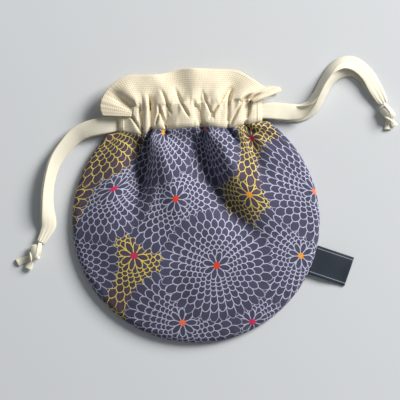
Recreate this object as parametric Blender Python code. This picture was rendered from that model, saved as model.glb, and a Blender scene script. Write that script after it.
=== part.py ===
"""Round drawstring pouch of printed cotton, lying flat with its mouth gathered.

Metres, +Z up. The pouch lies on its back panel. X runs to the right across it, Y runs
from its round bottom towards its mouth, and the origin is the middle of the round body,
on the surface that the pouch lies on.

Cloth is built as thin solids. Two sheets that are sewn together keep JOIN_GAP between
their faces, and the lining lies PLY_GAP inside the printed panels.
"""
import math

import bmesh
import bpy
from mathutils import Matrix, Vector

# Round body
BODY_HALF_WIDTH = 0.099
BODY_REACH_BOTTOM = 0.0967
BODY_REACH_TOP = 0.099
LEFT_CORNER_DEG = 133.5
RIGHT_CORNER_DEG = 54.5
EDGE_HEIGHT = 0.0030
EDGE_ROLL = 0.0050
EDGE_RISE = 0.0042
PUFF_RISE = 0.0100
PUFF_REACH = 0.062
# How far from the mouth the front and back panels turn into the gathered seam
FRONT_MOUTH_BLEND = 0.011
BACK_MOUTH_BLEND = 0.030
# Share of the outline over which the side seam comes down from a corner
CORNER_SHARE = 0.09

# Cloth
PANEL_CLOTH = 0.0010
LINING_CLOTH = 0.0008
BAND_CLOTH = 0.0009
RUFFLE_CLOTH = 0.0016
PLY_GAP = 0.0005
JOIN_GAP = 0.0003
REST_GAP = 0.0002

# Drawstring channels and neck
TAPE_WIDTH = 0.0132
TAPE_THICKNESS = 0.0008
TAPE_EASE = 0.0005
BUNCHED_SHARE = 0.46
CHANNEL_DEPTH = 0.0028
NECK_GAP = 0.0072
TUFT_RISE = 0.0034
BACK_TUFT_SHARE = 0.3
INNER_TUFT_SHARE = 0.2
BAND_START = 0.052
BAND_END = 0.9626
# How far the channel lies above the seam, and how its lower and upper edges are rounded
SEAM_LIFT = 0.0006
CHANNEL_LIP = 0.0006
CHANNEL_CORNER = 0.0004
# Fullness of a tuft: least share, more for each share of width, and roundness
TUFT_FULLNESS = 0.45
TUFT_WIDTH_FULLNESS = 2.6
TUFT_ROUNDNESS = 2.2
# Shares of the channel's height between which a tuft is at its highest, and at its foot
TUFT_PLACES = (0.34, 0.62)
TUFT_FOOT = 0.4
NECK_ROUNDNESS = 0.6

# Ruffle above the channels
RUFFLE_HEIGHT = 0.0290
RUFFLE_DROP = 0.0035
RUFFLE_WAVE = 0.0044
BACK_RUFFLE_WAVE = 0.0018
BACK_RUFFLE_SHARE = 0.93
RUFFLE_LOBES = 3.1
RUFFLE_LOBE_SHIFT = 0.12
RUFFLE_ROWS = (0.0, 0.2, 0.45, 0.72, 1.0)
# Flare of the ruffle: share of the mouth, direction in degrees, share of its height
RUFFLE_FLARE = (
    (0.052, 184, 0.50),
    (0.075, 158, 0.62),
    (0.10, 137, 0.74),
    (0.15, 119, 0.92),
    (0.20, 110, 0.99),
    (0.30, 105, 0.96),
    (0.45, 94, 1.04),
    (0.60, 90, 1.02),
    (0.75, 89, 0.95),
    (0.85, 80, 0.72),
    (0.92, 58, 0.54),
    (0.9626, 27, 0.60),
)

# Woven label in the side seam
LABEL_LENGTH = 0.0300
LABEL_WIDTH = 0.0240
LABEL_CLOTH = 0.0004
LABEL_FOLD = 0.0012
LABEL_SEAM_DEG = -18.2
LABEL_STATIONS = 8

# Knots at the tape ends
KNOT_LENGTH = 0.0150
KNOT_WIDTH = 0.0105
KNOT_HEIGHT = 0.0072
KNOT_WRAP_WIDTH = 0.0062
KNOT_WRAP_BULGE = 0.0010
KNOT_WRAP_SINK = 0.0003
KNOT_WRAP_SLANT_DEG = 32.0
KNOT_TAIL_WIDTH = 0.0062
KNOT_TAIL_THICKNESS = 0.0012
KNOT_TAIL_STEPS = 5

# Creases of the gathers: share of the mouth's width, and how far the seam dips there
CREASES = (
    (0.208, 0.0041),
    (0.265, 0.0006),
    (0.357, 0.0019),
    (0.574, 0.0014),
    (0.746, 0.0039),
    (0.854, 0.0018),
)
# Columns of the mesh between one crease, band end or corner and the next
COLUMNS_BETWEEN = (2, 6, 3, 4, 7, 6, 4, 4, 2)

# Folds of the front panel: points as shares of the body's half width and top reach,
# height (a valley is negative), width of each flank, and the same at the far end
FOLDS = (
    # deep fold under the second crease, steep on its right
    (((-0.365, 0.74), (-0.415, 0.50), (-0.51, 0.26), (-0.60, -0.20)),
     -0.0092, 0.0085, 0.0030, 0.016),
    # short fold at the left end of the channel
    (((-0.424, 0.70), (-0.475, 0.48)), -0.0030, 0.0045, 0.0035, 0.006),
    # short fold under the third crease
    (((-0.234, 0.73), (-0.18, 0.60)), -0.0030, 0.0035, 0.0035, 0.005),
    # broad valley from the middle down to the right
    (((0.03, 0.76), (0.085, 0.50), (0.28, 0.13), (0.66, -0.34)),
     -0.0080, 0.0065, 0.0080, 0.017),
    # two valleys at the right of the channel
    (((0.26, 0.75), (0.35, 0.54), (0.40, 0.34)), -0.0050, 0.0048, 0.0042, 0.009),
    (((0.40, 0.77), (0.66, 0.61)), -0.0032, 0.0050, 0.0050, 0.008),
    # ridges between the valleys
    (((-0.29, 0.74), (-0.25, 0.50), (-0.09, 0.06), (0.04, -0.32)),
     0.0042, 0.0085, 0.0110, 0.018),
    (((0.145, 0.74), (0.25, 0.43), (0.52, 0.17), (0.74, -0.08)),
     0.0050, 0.0070, 0.0085, 0.014),
    (((-0.55, 0.70), (-0.77, 0.42), (-0.85, -0.08)), 0.0016, 0.0110, 0.0110, 0.014),
    (((0.50, 0.76), (0.80, 0.40)), 0.0018, 0.0090, 0.0090, 0.014),
)

# Free stretches of the tapes, from the channel to the knot: x, y, z, share of the full
# width, and the roll in degrees, where 0 lies flat
LEFT_UPPER_ROUTE = (
    (-0.0675, 0.0768, 0.0082, 0.54, 0),
    (-0.0738, 0.0770, 0.0066, 0.84, 0),
    (-0.0815, 0.0760, 0.0046, 1.00, 0),
    (-0.0944, 0.0712, 0.0029, 1.00, 0),
    (-0.1040, 0.0608, 0.0019, 1.00, 0),
    (-0.1115, 0.0512, 0.0017, 0.97, 0),
    (-0.1160, 0.0392, 0.0017, 0.92, 4),
    (-0.1178, 0.0248, 0.0017, 0.90, 6),
    (-0.1178, 0.0104, 0.0017, 0.90, 4),
    (-0.1175, -0.0030, 0.0019, 0.84, 0),
    (-0.1207, -0.0098, 0.0030, 0.66, 0),
    (-0.1241, -0.0165, 0.0044, 0.50, 0),
)
LEFT_LOWER_ROUTE = (
    (-0.0675, 0.0768, 0.0026, 0.54, 0),
    (-0.0738, 0.0768, 0.0018, 0.84, 0),
    (-0.0815, 0.0758, 0.0010, 1.00, 0),
    (-0.0946, 0.0710, 0.0006, 1.00, 0),
    (-0.1046, 0.0604, 0.0005, 1.00, 0),
    (-0.1124, 0.0508, 0.0005, 0.97, 0),
    (-0.1174, 0.0390, 0.0005, 0.92, 0),
    (-0.1194, 0.0248, 0.0005, 0.90, 0),
    (-0.1193, 0.0104, 0.0005, 0.90, 0),
    (-0.1184, -0.0030, 0.0006, 0.84, 0),
    (-0.1210, -0.0096, 0.0013, 0.66, 0),
    (-0.1242, -0.0163, 0.0028, 0.50, 0),
)
RIGHT_UPPER_ROUTE = (
    (0.0588, 0.0922, 0.0084, 0.50, 0),
    (0.0655, 0.0900, 0.0070, 0.78, 0),
    (0.0744, 0.0878, 0.0056, 1.00, 0),
    (0.0840, 0.0880, 0.0060, 1.00, -18),
    (0.0915, 0.0932, 0.0076, 1.00, -46),
    (0.0968, 0.1020, 0.0082, 1.00, -58),
    (0.1022, 0.1122, 0.0082, 1.00, -58),
    (0.1090, 0.1216, 0.0078, 1.00, -48),
    (0.1180, 0.1268, 0.0064, 1.00, -26),
    (0.1275, 0.1254, 0.0046, 1.00, -8),
    (0.1372, 0.1176, 0.0036, 1.00, 0),
    (0.1434, 0.1072, 0.0032, 1.00, 0),
    (0.1478, 0.0992, 0.0036, 0.78, 0),
    (0.1503, 0.0949, 0.0044, 0.50, 0),
)
RIGHT_LOWER_ROUTE = (
    (0.0588, 0.0922, 0.0026, 0.50, 0),
    (0.0655, 0.0898, 0.0018, 0.78, 0),
    (0.0744, 0.0874, 0.0012, 1.00, 0),
    (0.0850, 0.0876, 0.0026, 1.00, 14),
    (0.0948, 0.0914, 0.0056, 1.00, 44),
    (0.1018, 0.1002, 0.0064, 1.00, 58),
    (0.1074, 0.1104, 0.0064, 1.00, 58),
    (0.1134, 0.1182, 0.0052, 1.00, 42),
    (0.1196, 0.1226, 0.0032, 1.00, 20),
    (0.1277, 0.1224, 0.0012, 1.00, 4),
    (0.1366, 0.1156, 0.0007, 1.00, 0),
    (0.1426, 0.1064, 0.0007, 1.00, 0),
    (0.1474, 0.0990, 0.0014, 0.78, 0),
    (0.1501, 0.0947, 0.0028, 0.50, 0),
)
# Knots: middle, heading in degrees from the tape to the tails, and each tail's turn
# away from that heading and its length
LEFT_KNOT = ((-0.1284, -0.0238), 240, ((-34, 0.0150), (8, 0.0120)))
RIGHT_KNOT = ((0.1531, 0.0874), -70, ((-22, 0.0105), (12, 0.0095)))
ROUTE_STEPS = 2
CHANNEL_STATIONS = 7
TURN_REACH = 0.0040
TURN_EASE = 0.0008
TURN_DEGREES = (90, 50, 12, -12, -50, -90)

PLY_HALF = (PANEL_CLOTH + PLY_GAP + LINING_CLOTH) / 2
CHANNEL_HEIGHT = 2 * BUNCHED_SHARE * TAPE_WIDTH + 3 * TAPE_EASE + 0.0010
BACK_CHANNEL_Z = REST_GAP + BAND_CLOTH + CHANNEL_DEPTH / 2
FRONT_CHANNEL_END_Z = BACK_CHANNEL_Z + CHANNEL_DEPTH + 2 * BAND_CLOTH + JOIN_GAP
FRONT_CHANNEL_Z = FRONT_CHANNEL_END_Z + NECK_GAP + BACK_TUFT_SHARE * TUFT_RISE
CORNER_HEIGHT = (BACK_CHANNEL_Z + FRONT_CHANNEL_END_Z) / 2

INDIGO = (0.045, 0.042, 0.080)
CREAM = (0.83, 0.76, 0.60)
IVORY = (0.84, 0.81, 0.68)
LABEL_BLUE = (0.020, 0.030, 0.045)


def smooth(value):
    """Ease a share from 0 to 1."""
    value = min(max(value, 0.0), 1.0)
    return value * value * (3 - 2 * value)


def mix(start, end, share):
    """Blend two numbers."""
    return start + (end - start) * share


def curve_through(points, steps):
    """Points on a smooth curve through the given ones, with steps to each interval."""
    dims = len(points[0])
    ends = [tuple(2 * points[0][k] - points[1][k] for k in range(dims))]
    ends += list(points)
    ends.append(tuple(2 * points[-1][k] - points[-2][k] for k in range(dims)))
    curve = []
    for index in range(1, len(ends) - 2):
        before, start, end, after = ends[index - 1:index + 3]
        for step in range(steps):
            t = step / steps
            curve.append(tuple(
                0.5 * (2 * start[k] + (end[k] - before[k]) * t
                       + (2 * before[k] - 5 * start[k] + 4 * end[k] - after[k]) * t ** 2
                       + (3 * start[k] - before[k] - 3 * end[k] + after[k]) * t ** 3)
                for k in range(dims)))
    curve.append(tuple(points[-1]))
    return curve


def outline_point(angle):
    """Point of the body's round outline at an angle."""
    reach = BODY_REACH_TOP if math.sin(angle) > 0 else BODY_REACH_BOTTOM
    return Vector((BODY_HALF_WIDTH * math.cos(angle), reach * math.sin(angle), 0))


def outward(angle):
    """Unit vector out of the outline at an angle."""
    reach = BODY_REACH_TOP if math.sin(angle) > 0 else BODY_REACH_BOTTOM
    return Vector((math.cos(angle) / BODY_HALF_WIDTH, math.sin(angle) / reach, 0)).normalized()


def inset(point):
    """Distance of a point from the body's outline, measured inwards."""
    reach = BODY_REACH_TOP if point.y > 0 else BODY_REACH_BOTTOM
    return (1 - math.hypot(point.x / BODY_HALF_WIDTH, point.y / reach)) * BODY_HALF_WIDTH


def seam_angle(share):
    """Angle on the outline that a column reaches, from the left corner to the right."""
    return math.radians(mix(LEFT_CORNER_DEG, 360 + RIGHT_CORNER_DEG, share))


def seam_height(share):
    """Height of the side seam: low round the body, up between the two bands at a corner."""
    from_corner = min(share, 1 - share) / CORNER_SHARE
    return mix(CORNER_HEIGHT, EDGE_HEIGHT, smooth(from_corner))


def mouth_line(share):
    """Straight line between the mouth's corners."""
    left = outline_point(math.radians(LEFT_CORNER_DEG))
    right = outline_point(math.radians(RIGHT_CORNER_DEG))
    return left.lerp(right, share)


def tuft_span():
    """Shares of the mouth where the tufts of the channel begin and end."""
    return (BAND_START,) + tuple(share for share, _ in CREASES) + (BAND_END,)


def tuft(share):
    """Height of the gathered tufts, from 0 in a crease to 1 on the widest tuft."""
    span = tuft_span()
    for start, end in zip(span, span[1:]):
        if start <= share <= end:
            across = abs(2 * (share - start) / (end - start) - 1)
            fullness = min(1.0, TUFT_FULLNESS + TUFT_WIDTH_FULLNESS * (end - start))
            return fullness * (1 - across ** TUFT_ROUNDNESS)
    return 0.0


def mouth_dip(share):
    """How far the gathered seam lies below the mouth's straight line."""
    stations = ((0.0, 0.0), (BAND_START, 0.0004)) + CREASES + ((BAND_END, 0.0004), (1.0, 0.0))
    for (start, low), (end, high) in zip(stations, stations[1:]):
        if start <= share <= end:
            return mix(low, high, smooth((share - start) / (end - start)))
    return 0.0


def mouth_point(share):
    """Point of the gathered seam between a panel and its band."""
    return mouth_line(share) - Vector((0, mouth_dip(share), 0))


def swell(share):
    """Lens shape of the neck, from 0 at a band's end to 1 in its middle."""
    inside = (share - BAND_START) / (BAND_END - BAND_START)
    return math.sin(math.pi * min(max(inside, 0.0), 1.0)) ** NECK_ROUNDNESS


def front_channel_z(share):
    """Height of the front channel's middle."""
    return mix(FRONT_CHANNEL_END_Z, FRONT_CHANNEL_Z, swell(share))


def front_seam_z(share):
    """Height of the seam between front panel and front band."""
    end_rise = smooth(min(share, 1 - share) / BAND_START)
    full = front_channel_z(share) + 0.5 * TUFT_RISE * tuft(share)
    return mix(CORNER_HEIGHT + JOIN_GAP / 2 + PLY_HALF, full, end_rise)


def back_seam_z(share):
    """Height of the seam between back panel and back band."""
    end_rise = smooth(min(share, 1 - share) / BAND_START)
    return mix(CORNER_HEIGHT - JOIN_GAP / 2 - PLY_HALF, BACK_CHANNEL_Z, end_rise)


def beside_line(line, x, y):
    """Share along a plan line, and distance to its right, of the point nearest to x, y."""
    best = (1e9, 0.0, 0.0)
    for index in range(len(line) - 1):
        (ax, ay), (bx, by) = line[index], line[index + 1]
        run = math.hypot(bx - ax, by - ay)
        along = ((x - ax) * (bx - ax) + (y - ay) * (by - ay)) / run ** 2
        held = min(max(along, 0.0), 1.0)
        away = math.hypot(x - mix(ax, bx, held), y - mix(ay, by, held))
        side = ((bx - ax) * (ay - y) - (by - ay) * (ax - x)) / run
        if away < best[0]:
            best = (away, (index + held) / (len(line) - 1), math.copysign(away, side))
    return best[1], best[2]


def fold_lines():
    """The folds with their plan lines in metres."""
    folds = []
    for points, height, left, right, far in FOLDS:
        line = [(px * BODY_HALF_WIDTH, py * BODY_REACH_TOP) for px, py in points]
        folds.append((curve_through(line, 4), height, left, right, far))
    return folds


def folds_at(point, folds):
    """Height that the folds add at a point of the front panel."""
    total = 0.0
    for line, height, left, right, far in folds:
        along, aside = beside_line(line, point.x, point.y)
        flank = mix(right if aside < 0 else left, far, along ** 1.5)
        total += height * (1 - smooth(along)) * math.exp(-(aside / flank) ** 2)
    return total


def rolled_edge(depth):
    """Share of its rise that the cloth has reached this far in from the edge."""
    inside = min(max(depth / EDGE_ROLL, 0.0), 1.0)
    return math.sqrt(1 - (1 - inside) ** 2)


def front_height(point, share, from_mouth, folds):
    """Height of the front panel's outer face."""
    depth = inset(point)
    edge = seam_height(share) + JOIN_GAP / 2
    body = edge + EDGE_RISE * rolled_edge(depth)
    body += PUFF_RISE * math.sin(math.pi / 2 * min(depth / PUFF_REACH, 1.0))
    body += folds_at(point, folds) * smooth(depth / (3 * EDGE_ROLL))
    mouth = front_seam_z(share) + PLY_HALF
    return mix(body, mouth, math.exp(-(from_mouth / FRONT_MOUTH_BLEND) ** 2))


def back_height(point, share, from_mouth):
    """Height of the back panel's outer face, flat on the surface inside its edge."""
    depth = inset(point)
    edge = seam_height(share) - JOIN_GAP / 2
    body = edge * (1 - rolled_edge(depth))
    mouth = back_seam_z(share) - PLY_HALF
    return mix(body, mouth, 1 - smooth(from_mouth / BACK_MOUTH_BLEND))


def column_shares(every=1):
    """Shares of the mouth at which the mesh has a column."""
    stations = (0.0,) + tuft_span() + (1.0,)
    shares = [0.0]
    for start, end, count in zip(stations, stations[1:], COLUMNS_BETWEEN):
        pieces = max(1, count // every)
        shares += [mix(start, end, (step + 1) / pieces) for step in range(pieces)]
    return shares


def row_places(length, rows, edge_rows):
    """Distances down a column, closer at the mouth and round the rolled edge."""
    roll = min(1.25 * EDGE_ROLL, 0.5 * length)
    places = [(length - roll) * (row / rows) ** 1.25 for row in range(rows + 1)]
    for row in range(1, edge_rows + 1):
        turn = math.pi / 2 * row / edge_rows
        places.append(length - roll * (1 - math.sin(turn)))
    return places


def panel_grid(height_at, every, rows, edge_rows, upper):
    """Points and outward normals of a panel's outer face, column by column.

    The first and last columns are the single points of the mouth's corners.
    """
    columns = []
    for share in column_shares(every):
        angle = seam_angle(share)
        rim = outline_point(angle)
        top = mouth_point(share)
        length = (rim - top).length
        if share in (0, 1):
            rim.z = seam_height(share) + (JOIN_GAP / 2 if upper else -JOIN_GAP / 2)
            columns.append([(rim, outward(angle))])
            continue
        column = []
        run = (rim - top) / length
        for place in row_places(length, rows, edge_rows):
            plan = top + run * place - Vector((0, JOIN_GAP / 2, 0)) * (place == 0)
            plan.z = height_at(plan, share, place)
            column.append((plan, outward(angle) if place == length else None))
        columns.append(column)
    return with_normals(columns, Vector((0, 0, 1 if upper else -1)))


def with_normals(columns, facing):
    """Fill in the normals that the rim doesn't fix, from each point's neighbours."""
    done = [columns[0]]
    for index in range(1, len(columns) - 1):
        column = columns[index]
        left = columns[index - 1]
        right = columns[index + 1]
        fresh = [(column[0][0], facing)]
        for row in range(1, len(column)):
            point, normal = column[row]
            if normal is None:
                before = left[min(row, len(left) - 1)][0]
                after = right[min(row, len(right) - 1)][0]
                down = column[row + 1][0] - column[row - 1][0]
                normal = (after - before).cross(-down).normalized()
                normal = normal if normal.dot(facing) > 0 else -normal
            fresh.append((point, normal))
        done.append(fresh)
    done.append(columns[-1])
    return done


def solid_from(name, build, material=None):
    """New object whose mesh is filled by build, a function that takes a bmesh."""
    mesh = bpy.data.meshes.new(name)
    shape = bmesh.new()
    build(shape)
    bmesh.ops.recalc_face_normals(shape, faces=shape.faces)
    shape.to_mesh(mesh)
    shape.free()
    mesh.shade_smooth()
    mesh.set_sharp_from_angle(angle=math.radians(45))
    if material is not None:
        mesh.materials.append(material)
    part = bpy.data.objects.new(name, mesh)
    bpy.context.collection.objects.link(part)
    return part


def panel(name, grid, outer, inner, material):
    """Sheet of cloth between two depths under a panel's outer face."""
    def build(shape):
        faces = []
        for depth in (outer, inner):
            faces.append([[shape.verts.new(point - normal * depth) for point, normal in column]
                          for column in grid])
        for skin in faces:
            for left, right in zip(skin, skin[1:]):
                for row in range(max(len(left), len(right)) - 1):
                    ring = [left[min(row, len(left) - 1)], right[min(row, len(right) - 1)],
                            right[min(row + 1, len(right) - 1)], left[min(row + 1, len(left) - 1)]]
                    shape.faces.new(list(dict.fromkeys(ring)))
        for row in (0, -1):
            edge = [[column[row] for column in skin] for skin in faces]
            for step in range(len(edge[0]) - 1):
                shape.faces.new((edge[0][step], edge[0][step + 1],
                                 edge[1][step + 1], edge[1][step]))
    return solid_from(name, build, material)


def ruffle_flare(share):
    """Direction in which the ruffle flares, and its reach in plan, at a share of the mouth."""
    angle = math.pi / 2
    reach = RUFFLE_HEIGHT
    for (start, turn, height), (end, next_turn, next_height) in zip(RUFFLE_FLARE, RUFFLE_FLARE[1:]):
        if share <= end + 1e-9:
            along = (share - start) / (end - start)
            angle = math.radians(mix(turn, next_turn, along))
            reach = RUFFLE_HEIGHT * mix(height, next_height, along)
            break
    return Vector((math.cos(angle), math.sin(angle), 0)), reach


def ruffle_wave(share, out):
    """Waves of the ruffle, from the tufts at its foot to broad lobes at its edge."""
    lobes = math.sin(2 * math.pi * (RUFFLE_LOBES * share + RUFFLE_LOBE_SHIFT))
    return mix(0.5 * tuft(share), 0.5 + 0.5 * lobes, out) * swell(share)


class Band:
    """One cream band: a channel for the tapes, with a ruffle above it."""

    def __init__(self, front):
        self.front = front
        self.tuft_rise = TUFT_RISE if front else BACK_TUFT_SHARE * TUFT_RISE
        self.inner_rise = INNER_TUFT_SHARE * self.tuft_rise if front else 0.0

    def middle(self, share):
        """Height of the channel's middle."""
        return front_channel_z(share) if self.front else BACK_CHANNEL_Z

    def seam(self, share):
        """Height of the middle of the band's lower edge."""
        return front_seam_z(share) if self.front else back_seam_z(share)

    def ruffle_middle(self, share, out):
        """Height of the ruffle's middle, out being 0 at its foot and 1 at its edge."""
        if self.front:
            drop = RUFFLE_DROP * swell(share) * out
            return self.middle(share) - drop + RUFFLE_WAVE * ruffle_wave(share, out)
        ground = REST_GAP + RUFFLE_CLOTH / 2
        settled = mix(self.middle(share), ground, smooth(1.8 * out))
        return settled + BACK_RUFFLE_WAVE * ruffle_wave(share, out) * out

    def section(self, share):
        """Outer ring and channel ring of the band at one share of the mouth."""
        foot = mouth_point(share) + Vector((0, JOIN_GAP / 2, 0))
        base = mouth_line(share)
        base.y += SEAM_LIFT
        middle = self.middle(share)
        rise = self.tuft_rise * tuft(share)
        under = self.inner_rise * tuft(share)
        half = CHANNEL_DEPTH / 2
        high = half + rise
        low = half + under
        height = CHANNEL_HEIGHT
        full_from = CHANNEL_LIP + CHANNEL_CORNER
        full_to = height - CHANNEL_CORNER
        tuft_low = TUFT_PLACES[0] * height
        tuft_high = TUFT_PLACES[1] * height
        foot_rise = half + TUFT_FOOT * rise

        def at(up, z):
            return Vector((base.x, base.y + up, z))

        channel = [
            at(CHANNEL_LIP, middle),
            at(full_from, middle - half),
            at(height / 2, middle - low),
            at(full_to, middle - half),
            at(height, middle),
            at(full_to, middle + half),
            at(tuft_high, middle + high),
            at(tuft_low, middle + high),
            at(full_from, middle + foot_rise),
        ]
        wall = BAND_CLOTH
        seam = self.seam(share)
        outer = [
            Vector((foot.x, foot.y, seam + PLY_HALF)),
            Vector((foot.x, foot.y, seam - PLY_HALF)),
            at(full_from, middle - half - wall),
            at(height / 2, middle - low - wall),
            at(height, middle - half - wall),
        ]
        top = []
        direction, reach = ruffle_flare(share)
        reach *= 1.0 if self.front else BACK_RUFFLE_SHARE
        stitch = at(height + 2 * wall, 0)
        for out in RUFFLE_ROWS:
            place = stitch + direction * reach * out
            place.z = self.ruffle_middle(share, out)
            top.append(place)
        half_ruffle = Vector((0, 0, RUFFLE_CLOTH / 2))
        outer += [place - half_ruffle for place in top]
        outer += [place + half_ruffle for place in reversed(top)]
        outer += [
            at(height, middle + half + wall),
            at(tuft_high, middle + high + wall),
            at(tuft_low, middle + high + wall),
            at(full_from, middle + foot_rise + wall),
        ]
        return outer, channel

    def make(self, name, every, material):
        """Loft the sections from the left end to the right one."""
        shares = [share for share in column_shares(every)
                  if BAND_START - 1e-9 <= share <= BAND_END + 1e-9]

        def build(shape):
            rings = [[[shape.verts.new(point) for point in ring] for ring in self.section(share)]
                     for share in shares]
            for left, right in zip(rings, rings[1:]):
                for ring_left, ring_right in zip(left, right):
                    bridge(shape, ring_left, ring_right)
            for outer, channel in (rings[0], rings[-1]):
                close_end(shape, outer, channel)
        return solid_from(name, build, material)


def bridge(shape, left, right):
    """Quads between two closed rings with as many points."""
    for index, vert in enumerate(left):
        after = (index + 1) % len(left)
        shape.faces.new((vert, left[after], right[after], right[index]))


def close_end(shape, outer, channel):
    """Close a band's end round the open channel, and the end of its ruffle.

    Going round, the channel's first point faces the band's two lower points, and its
    middle one the two sides of the ruffle's foot. Every other point faces one.
    """
    ruffle_rows = len(RUFFLE_ROWS)
    under = 5
    over = under + 2 * ruffle_rows - 1
    facing = [outer[0:2], outer[2:3], outer[3:4], outer[4:5], [outer[under], outer[over]]]
    facing += [[vert] for vert in outer[over + 1:]]
    count = len(channel)
    for index in range(count):
        after = (index + 1) % count
        shape.faces.new((channel[index], channel[after], facing[after][0], facing[index][-1]))
        if len(facing[index]) == 2:
            shape.faces.new((channel[index], *facing[index]))
    for step in range(ruffle_rows - 1):
        shape.faces.new((outer[under + step], outer[under + step + 1],
                         outer[over - step - 1], outer[over - step]))


def lane_point(share, front, lane):
    """Middle of a bunched tape in one of the channel's two lanes."""
    base = mouth_line(share)
    width = BUNCHED_SHARE * TAPE_WIDTH
    first = SEAM_LIFT + CHANNEL_LIP + CHANNEL_CORNER + TAPE_EASE + width / 2
    up = first + lane * (width + TAPE_EASE)
    height = front_channel_z(share) if front else BACK_CHANNEL_Z
    return (base.x, base.y + up, height, BUNCHED_SHARE, 0)


def channel_run(front, lane, rightwards):
    """The stretch of a tape inside a channel."""
    shares = [mix(BAND_START, BAND_END, step / CHANNEL_STATIONS)
              for step in range(CHANNEL_STATIONS + 1)]
    run = [lane_point(share, front, lane) for share in shares]
    return run if rightwards else run[::-1]


def turn_round(share, lane, sign):
    """The turn of a tape from one channel into the other, beyond the bands' end."""
    top = lane_point(share, True, lane)
    bottom = lane_point(share, False, lane)
    centre = (top[2] + bottom[2]) / 2
    radius = (top[2] - bottom[2]) / 2
    points = []
    for degrees in TURN_DEGREES:
        angle = math.radians(degrees)
        x = top[0] + sign * (TURN_EASE + TURN_REACH * math.cos(angle))
        roll = 0 if degrees > 0 else 180
        points.append((x, top[1], centre + radius * math.sin(angle), BUNCHED_SHARE, roll))
    return points


def drawstring(name, upper, lower, leftwards, material):
    """One tape: knot, upper stretch, front channel, turn, back channel, lower stretch."""
    lane = 0 if leftwards else 1
    sign = 1 if leftwards else -1
    far_end = BAND_END if leftwards else BAND_START
    front = channel_run(True, lane, leftwards)
    back = channel_run(False, lane, not leftwards)
    free_in = curve_through(list(reversed(upper)) + front[:2], ROUTE_STEPS)[:-ROUTE_STEPS]
    free_out = curve_through(back[-2:] + list(lower), ROUTE_STEPS)[ROUTE_STEPS:]
    turn = turn_round(far_end, lane, sign)
    points = free_in + front[1:-1] + turn
    points += [(x, y, z, share, 180 + roll) for x, y, z, share, roll in back[1:-1] + free_out]
    curve = bpy.data.curves.new(name, "CURVE")
    curve.dimensions = "3D"
    curve.twist_mode = "Z_UP"
    curve.fill_mode = "FULL"
    curve.bevel_resolution = 1
    curve.bevel_depth = TAPE_THICKNESS / 2
    curve.extrude = (TAPE_WIDTH - TAPE_THICKNESS) / 2
    curve.use_fill_caps = True
    spline = curve.splines.new("POLY")
    spline.points.add(len(points) - 1)
    for target, (x, y, z, share, roll) in zip(spline.points, points):
        target.co = (x, y, z, 1)
        target.radius = share
        target.tilt = math.radians(90 + roll)
    curve.materials.append(material)
    tape = bpy.data.objects.new(name, curve)
    bpy.context.collection.objects.link(tape)
    return tape


def sphere_lump(name, size, place, turn):
    """Ellipsoid of a length, width and height, turned about Z."""
    mesh = bpy.data.meshes.new(name)
    shape = bmesh.new()
    bmesh.ops.create_uvsphere(shape, u_segments=12, v_segments=8, radius=0.5)
    bmesh.ops.scale(shape, vec=size, verts=shape.verts)
    shape.to_mesh(mesh)
    shape.free()
    lump = bpy.data.objects.new(name, mesh)
    lump.location = place
    lump.rotation_euler = (0, 0, turn)
    bpy.context.collection.objects.link(lump)
    return lump


def knot_wrap(name, place, turn):
    """Turn of tape that crosses the knot aslant: a flattened ring about its girth."""
    mesh = bpy.data.meshes.new(name)
    shape = bmesh.new()
    place_of_ring = Matrix.Translation((0, KNOT_WIDTH / 2 - KNOT_WRAP_SINK, 0))
    ring = bmesh.ops.create_circle(shape, segments=8, radius=KNOT_WRAP_BULGE,
                                   matrix=place_of_ring)
    bmesh.ops.scale(shape, vec=(KNOT_WRAP_WIDTH / (2 * KNOT_WRAP_BULGE), 1, 1), verts=ring["verts"])
    bmesh.ops.spin(shape, geom=shape.verts[:] + shape.edges[:], cent=(0, 0, 0), axis=(1, 0, 0),
                   dvec=(0, 0, 0), angle=2 * math.pi, steps=16, use_duplicate=False)
    bmesh.ops.remove_doubles(shape, verts=shape.verts, dist=1e-6)
    bmesh.ops.recalc_face_normals(shape, faces=shape.faces)
    bmesh.ops.scale(shape, vec=(1, 1, KNOT_HEIGHT / KNOT_WIDTH), verts=shape.verts)
    shape.to_mesh(mesh)
    shape.free()
    wrap = bpy.data.objects.new(name, mesh)
    wrap.location = place
    wrap.rotation_euler = (0, 0, turn + math.radians(KNOT_WRAP_SLANT_DEG))
    bpy.context.collection.objects.link(wrap)
    return wrap


def knot_tail(name, place, heading, length, lift):
    """Short end of tape that leaves the knot and comes down to the surface."""
    along = Vector((math.cos(heading), math.sin(heading), 0))
    across = Vector((-along.y, along.x, 0)) * KNOT_TAIL_WIDTH / 2
    up = Vector((0, 0, KNOT_TAIL_THICKNESS / 2))

    def build(shape):
        rings = []
        for step in range(KNOT_TAIL_STEPS + 1):
            share = step / KNOT_TAIL_STEPS
            middle = place + along * length * share
            middle.z = mix(place.z, REST_GAP + KNOT_TAIL_THICKNESS / 2 + lift, smooth(1.5 * share))
            rings.append([shape.verts.new(middle + a + b)
                          for a, b in ((across, up), (-across, up), (-across, -up), (across, -up))])
        for left, right in zip(rings, rings[1:]):
            bridge(shape, left, right)
        shape.faces.new(rings[0])
        shape.faces.new(rings[-1])
    return solid_from(name, build)


def join_to(part, tools):
    """Unite the tools with a part and leave them out of the model."""
    for tool in tools:
        tool.hide_render = True
        tool.display_type = "WIRE"
        union = part.modifiers.new(tool.name, "BOOLEAN")
        union.operation = "UNION"
        union.solver = "EXACT"
        union.object = tool


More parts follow.
